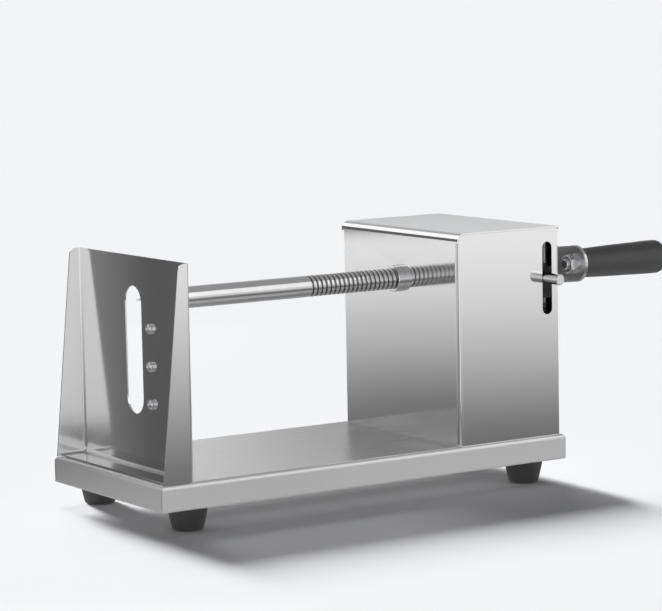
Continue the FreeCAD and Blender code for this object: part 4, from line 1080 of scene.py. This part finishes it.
def limit_light(lamp, lit, shading):
    """Lets a lamp light and be blocked by the named objects only."""
    for kind, objects in (("receiver", lit), ("blocker", shading)):
        chosen = bpy.data.collections.new(f"{lamp.name} {kind}s")
        for thing in objects:
            chosen.objects.link(thing)
        setattr(lamp.light_linking, f"{kind}_collection", chosen)


add_sun("key from behind", azimuth=72.0, elevation=47.0, spread=24.0, strength=0.7)
low_sun = add_sun("low sun along the floor", azimuth=82.0, elevation=14.0, spread=11.0,
                  strength=10.2)
low_parts = [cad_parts["base_pan"]] + [bpy.data.objects[name] for name in (
    "rubber_front_near", "rubber_front_far", "rubber_rear_near", "rubber_rear_far")]
limit_light(low_sun, [floor], low_parts)
print("lit")

# %% [markdown]
# Bright sheet shows nothing of its own, only what it mirrors. So a photographer of steel puts up
# cards: grey where a face should go dark, graded where it should fade. Each card here is seen by
# mirroring rays only. It lights nothing and throws no shadow, and its shades run along its width.

# %% Cards
def add_card(name, middle, azimuth, width, low, high, shades, strength=1.0):
    """Stands a card over a place on the floor, facing along an azimuth in degrees."""
    mesh = bpy.data.meshes.new(name)
    half = width / 2
    mesh.from_pydata([(-half, 0, low), (half, 0, low), (half, 0, high), (-half, 0, high)],
                     [], [(0, 1, 2, 3)])
    material = bpy.data.materials.new(name)
    material.use_nodes = True
    tree = material.node_tree
    tree.nodes.remove(tree.nodes["Principled BSDF"])
    place = add_node(tree, "ShaderNodeTexCoord")
    split = add_node(tree, "ShaderNodeSeparateXYZ")
    join(tree, place.outputs["Object"], split.inputs[0])
    share = multiply(tree, split.outputs["X"], 1.0 / width, 0.5)
    ramp = add_node(tree, "ShaderNodeValToRGB")
    join(tree, share, ramp.inputs["Fac"])
    fill_ramp(ramp, shades)
    glow = add_node(tree, "ShaderNodeEmission")
    glow.inputs["Strength"].default_value = strength
    join(tree, ramp.outputs["Color"], glow.inputs["Color"])
    join(tree, glow.outputs[0], tree.nodes["Material Output"].inputs["Surface"])
    mesh.materials.append(material)
    card = bpy.data.objects.new(name, mesh)
    card.location = (middle[0], middle[1], 0.0)
    card.rotation_euler = (0.0, 0.0, math.radians(azimuth - 90.0))
    for ray in ("camera", "diffuse", "shadow", "transmission", "volume_scatter"):
        setattr(card, f"visible_{ray}", False)
    bpy.context.scene.collection.objects.link(card)
    return card


def even(shade):
    return [(0.0, shade), (1.0, shade)]


add_card("graded card behind the base", (0.545, 0.838), azimuth=237.0, width=0.6, low=0.0,
         high=0.262, shades=[(0.0, 0.25), (0.5, 0.25), (0.56, 0.28), (0.63, 0.38), (0.8, 0.78),
                             (1.0, 0.82)])
add_card("dark card beside the bracket", (-0.296, 0.175), azimuth=299.0, width=0.14, low=0.0,
         high=0.32, shades=[(0.0, 0.3), (0.2, 0.26), (0.6, 0.1), (1.0, 0.1)])
add_card("grey card over the far floor", (-0.51, 0.86), azimuth=303.0, width=0.5, low=0.1,
         high=0.5, shades=even(0.12))
add_card("bright card on the crank's side", (0.85, -1.3), azimuth=123.0, width=2.2, low=0.32,
         high=1.7, shades=even(1.0), strength=1.15)
add_card("bright card on the blade's side", (-0.85, 1.3), azimuth=303.0, width=2.0, low=0.62,
         high=1.7, shades=even(1.0), strength=1.1)
add_card("pale card before the bracket", (-0.36, -0.24), azimuth=57.0, width=0.26, low=0.0,
         high=0.3, shades=even(0.85))
print("put up the cards")

# %% [markdown]
# The photograph was taken from about two metres with a long lens, a little above the cutter. Its
# height, turn and tilt were worked out from the corners of the base and the housing.

# %% Camera
CAMERA_PLACE = (-1.18335, -1.7723, 0.39)
CAMERA_TURN = math.radians(56.957)
CAMERA_DROP = math.radians(6.723)
CAMERA_ROLL = math.radians(-1.118)
SENSOR_MM = 36.0
LENS_MM = 153.1


def add_camera():
    data = bpy.data.cameras.new("camera")
    data.sensor_width = SENSOR_MM
    data.lens = LENS_MM
    data.clip_start = 0.05
    data.clip_end = 60.0
    camera = bpy.data.objects.new("camera", data)
    ahead = Vector((math.cos(CAMERA_DROP) * math.cos(CAMERA_TURN),
                    math.cos(CAMERA_DROP) * math.sin(CAMERA_TURN),
                    -math.sin(CAMERA_DROP)))
    level = Vector((math.sin(CAMERA_TURN), -math.cos(CAMERA_TURN), 0.0))
    upright = level.cross(ahead)
    right = level * math.cos(CAMERA_ROLL) + upright * math.sin(CAMERA_ROLL)
    up = upright * math.cos(CAMERA_ROLL) - level * math.sin(CAMERA_ROLL)
    turn = Matrix((right, up, -ahead)).transposed()
    camera.matrix_world = Matrix.Translation(CAMERA_PLACE) @ turn.to_4x4()
    bpy.context.scene.collection.objects.link(camera)
    bpy.context.scene.camera = camera


add_camera()
bpy.context.scene.view_settings.view_transform = "Standard"
print("camera", CAMERA_PLACE, "lens", LENS_MM, "mm")
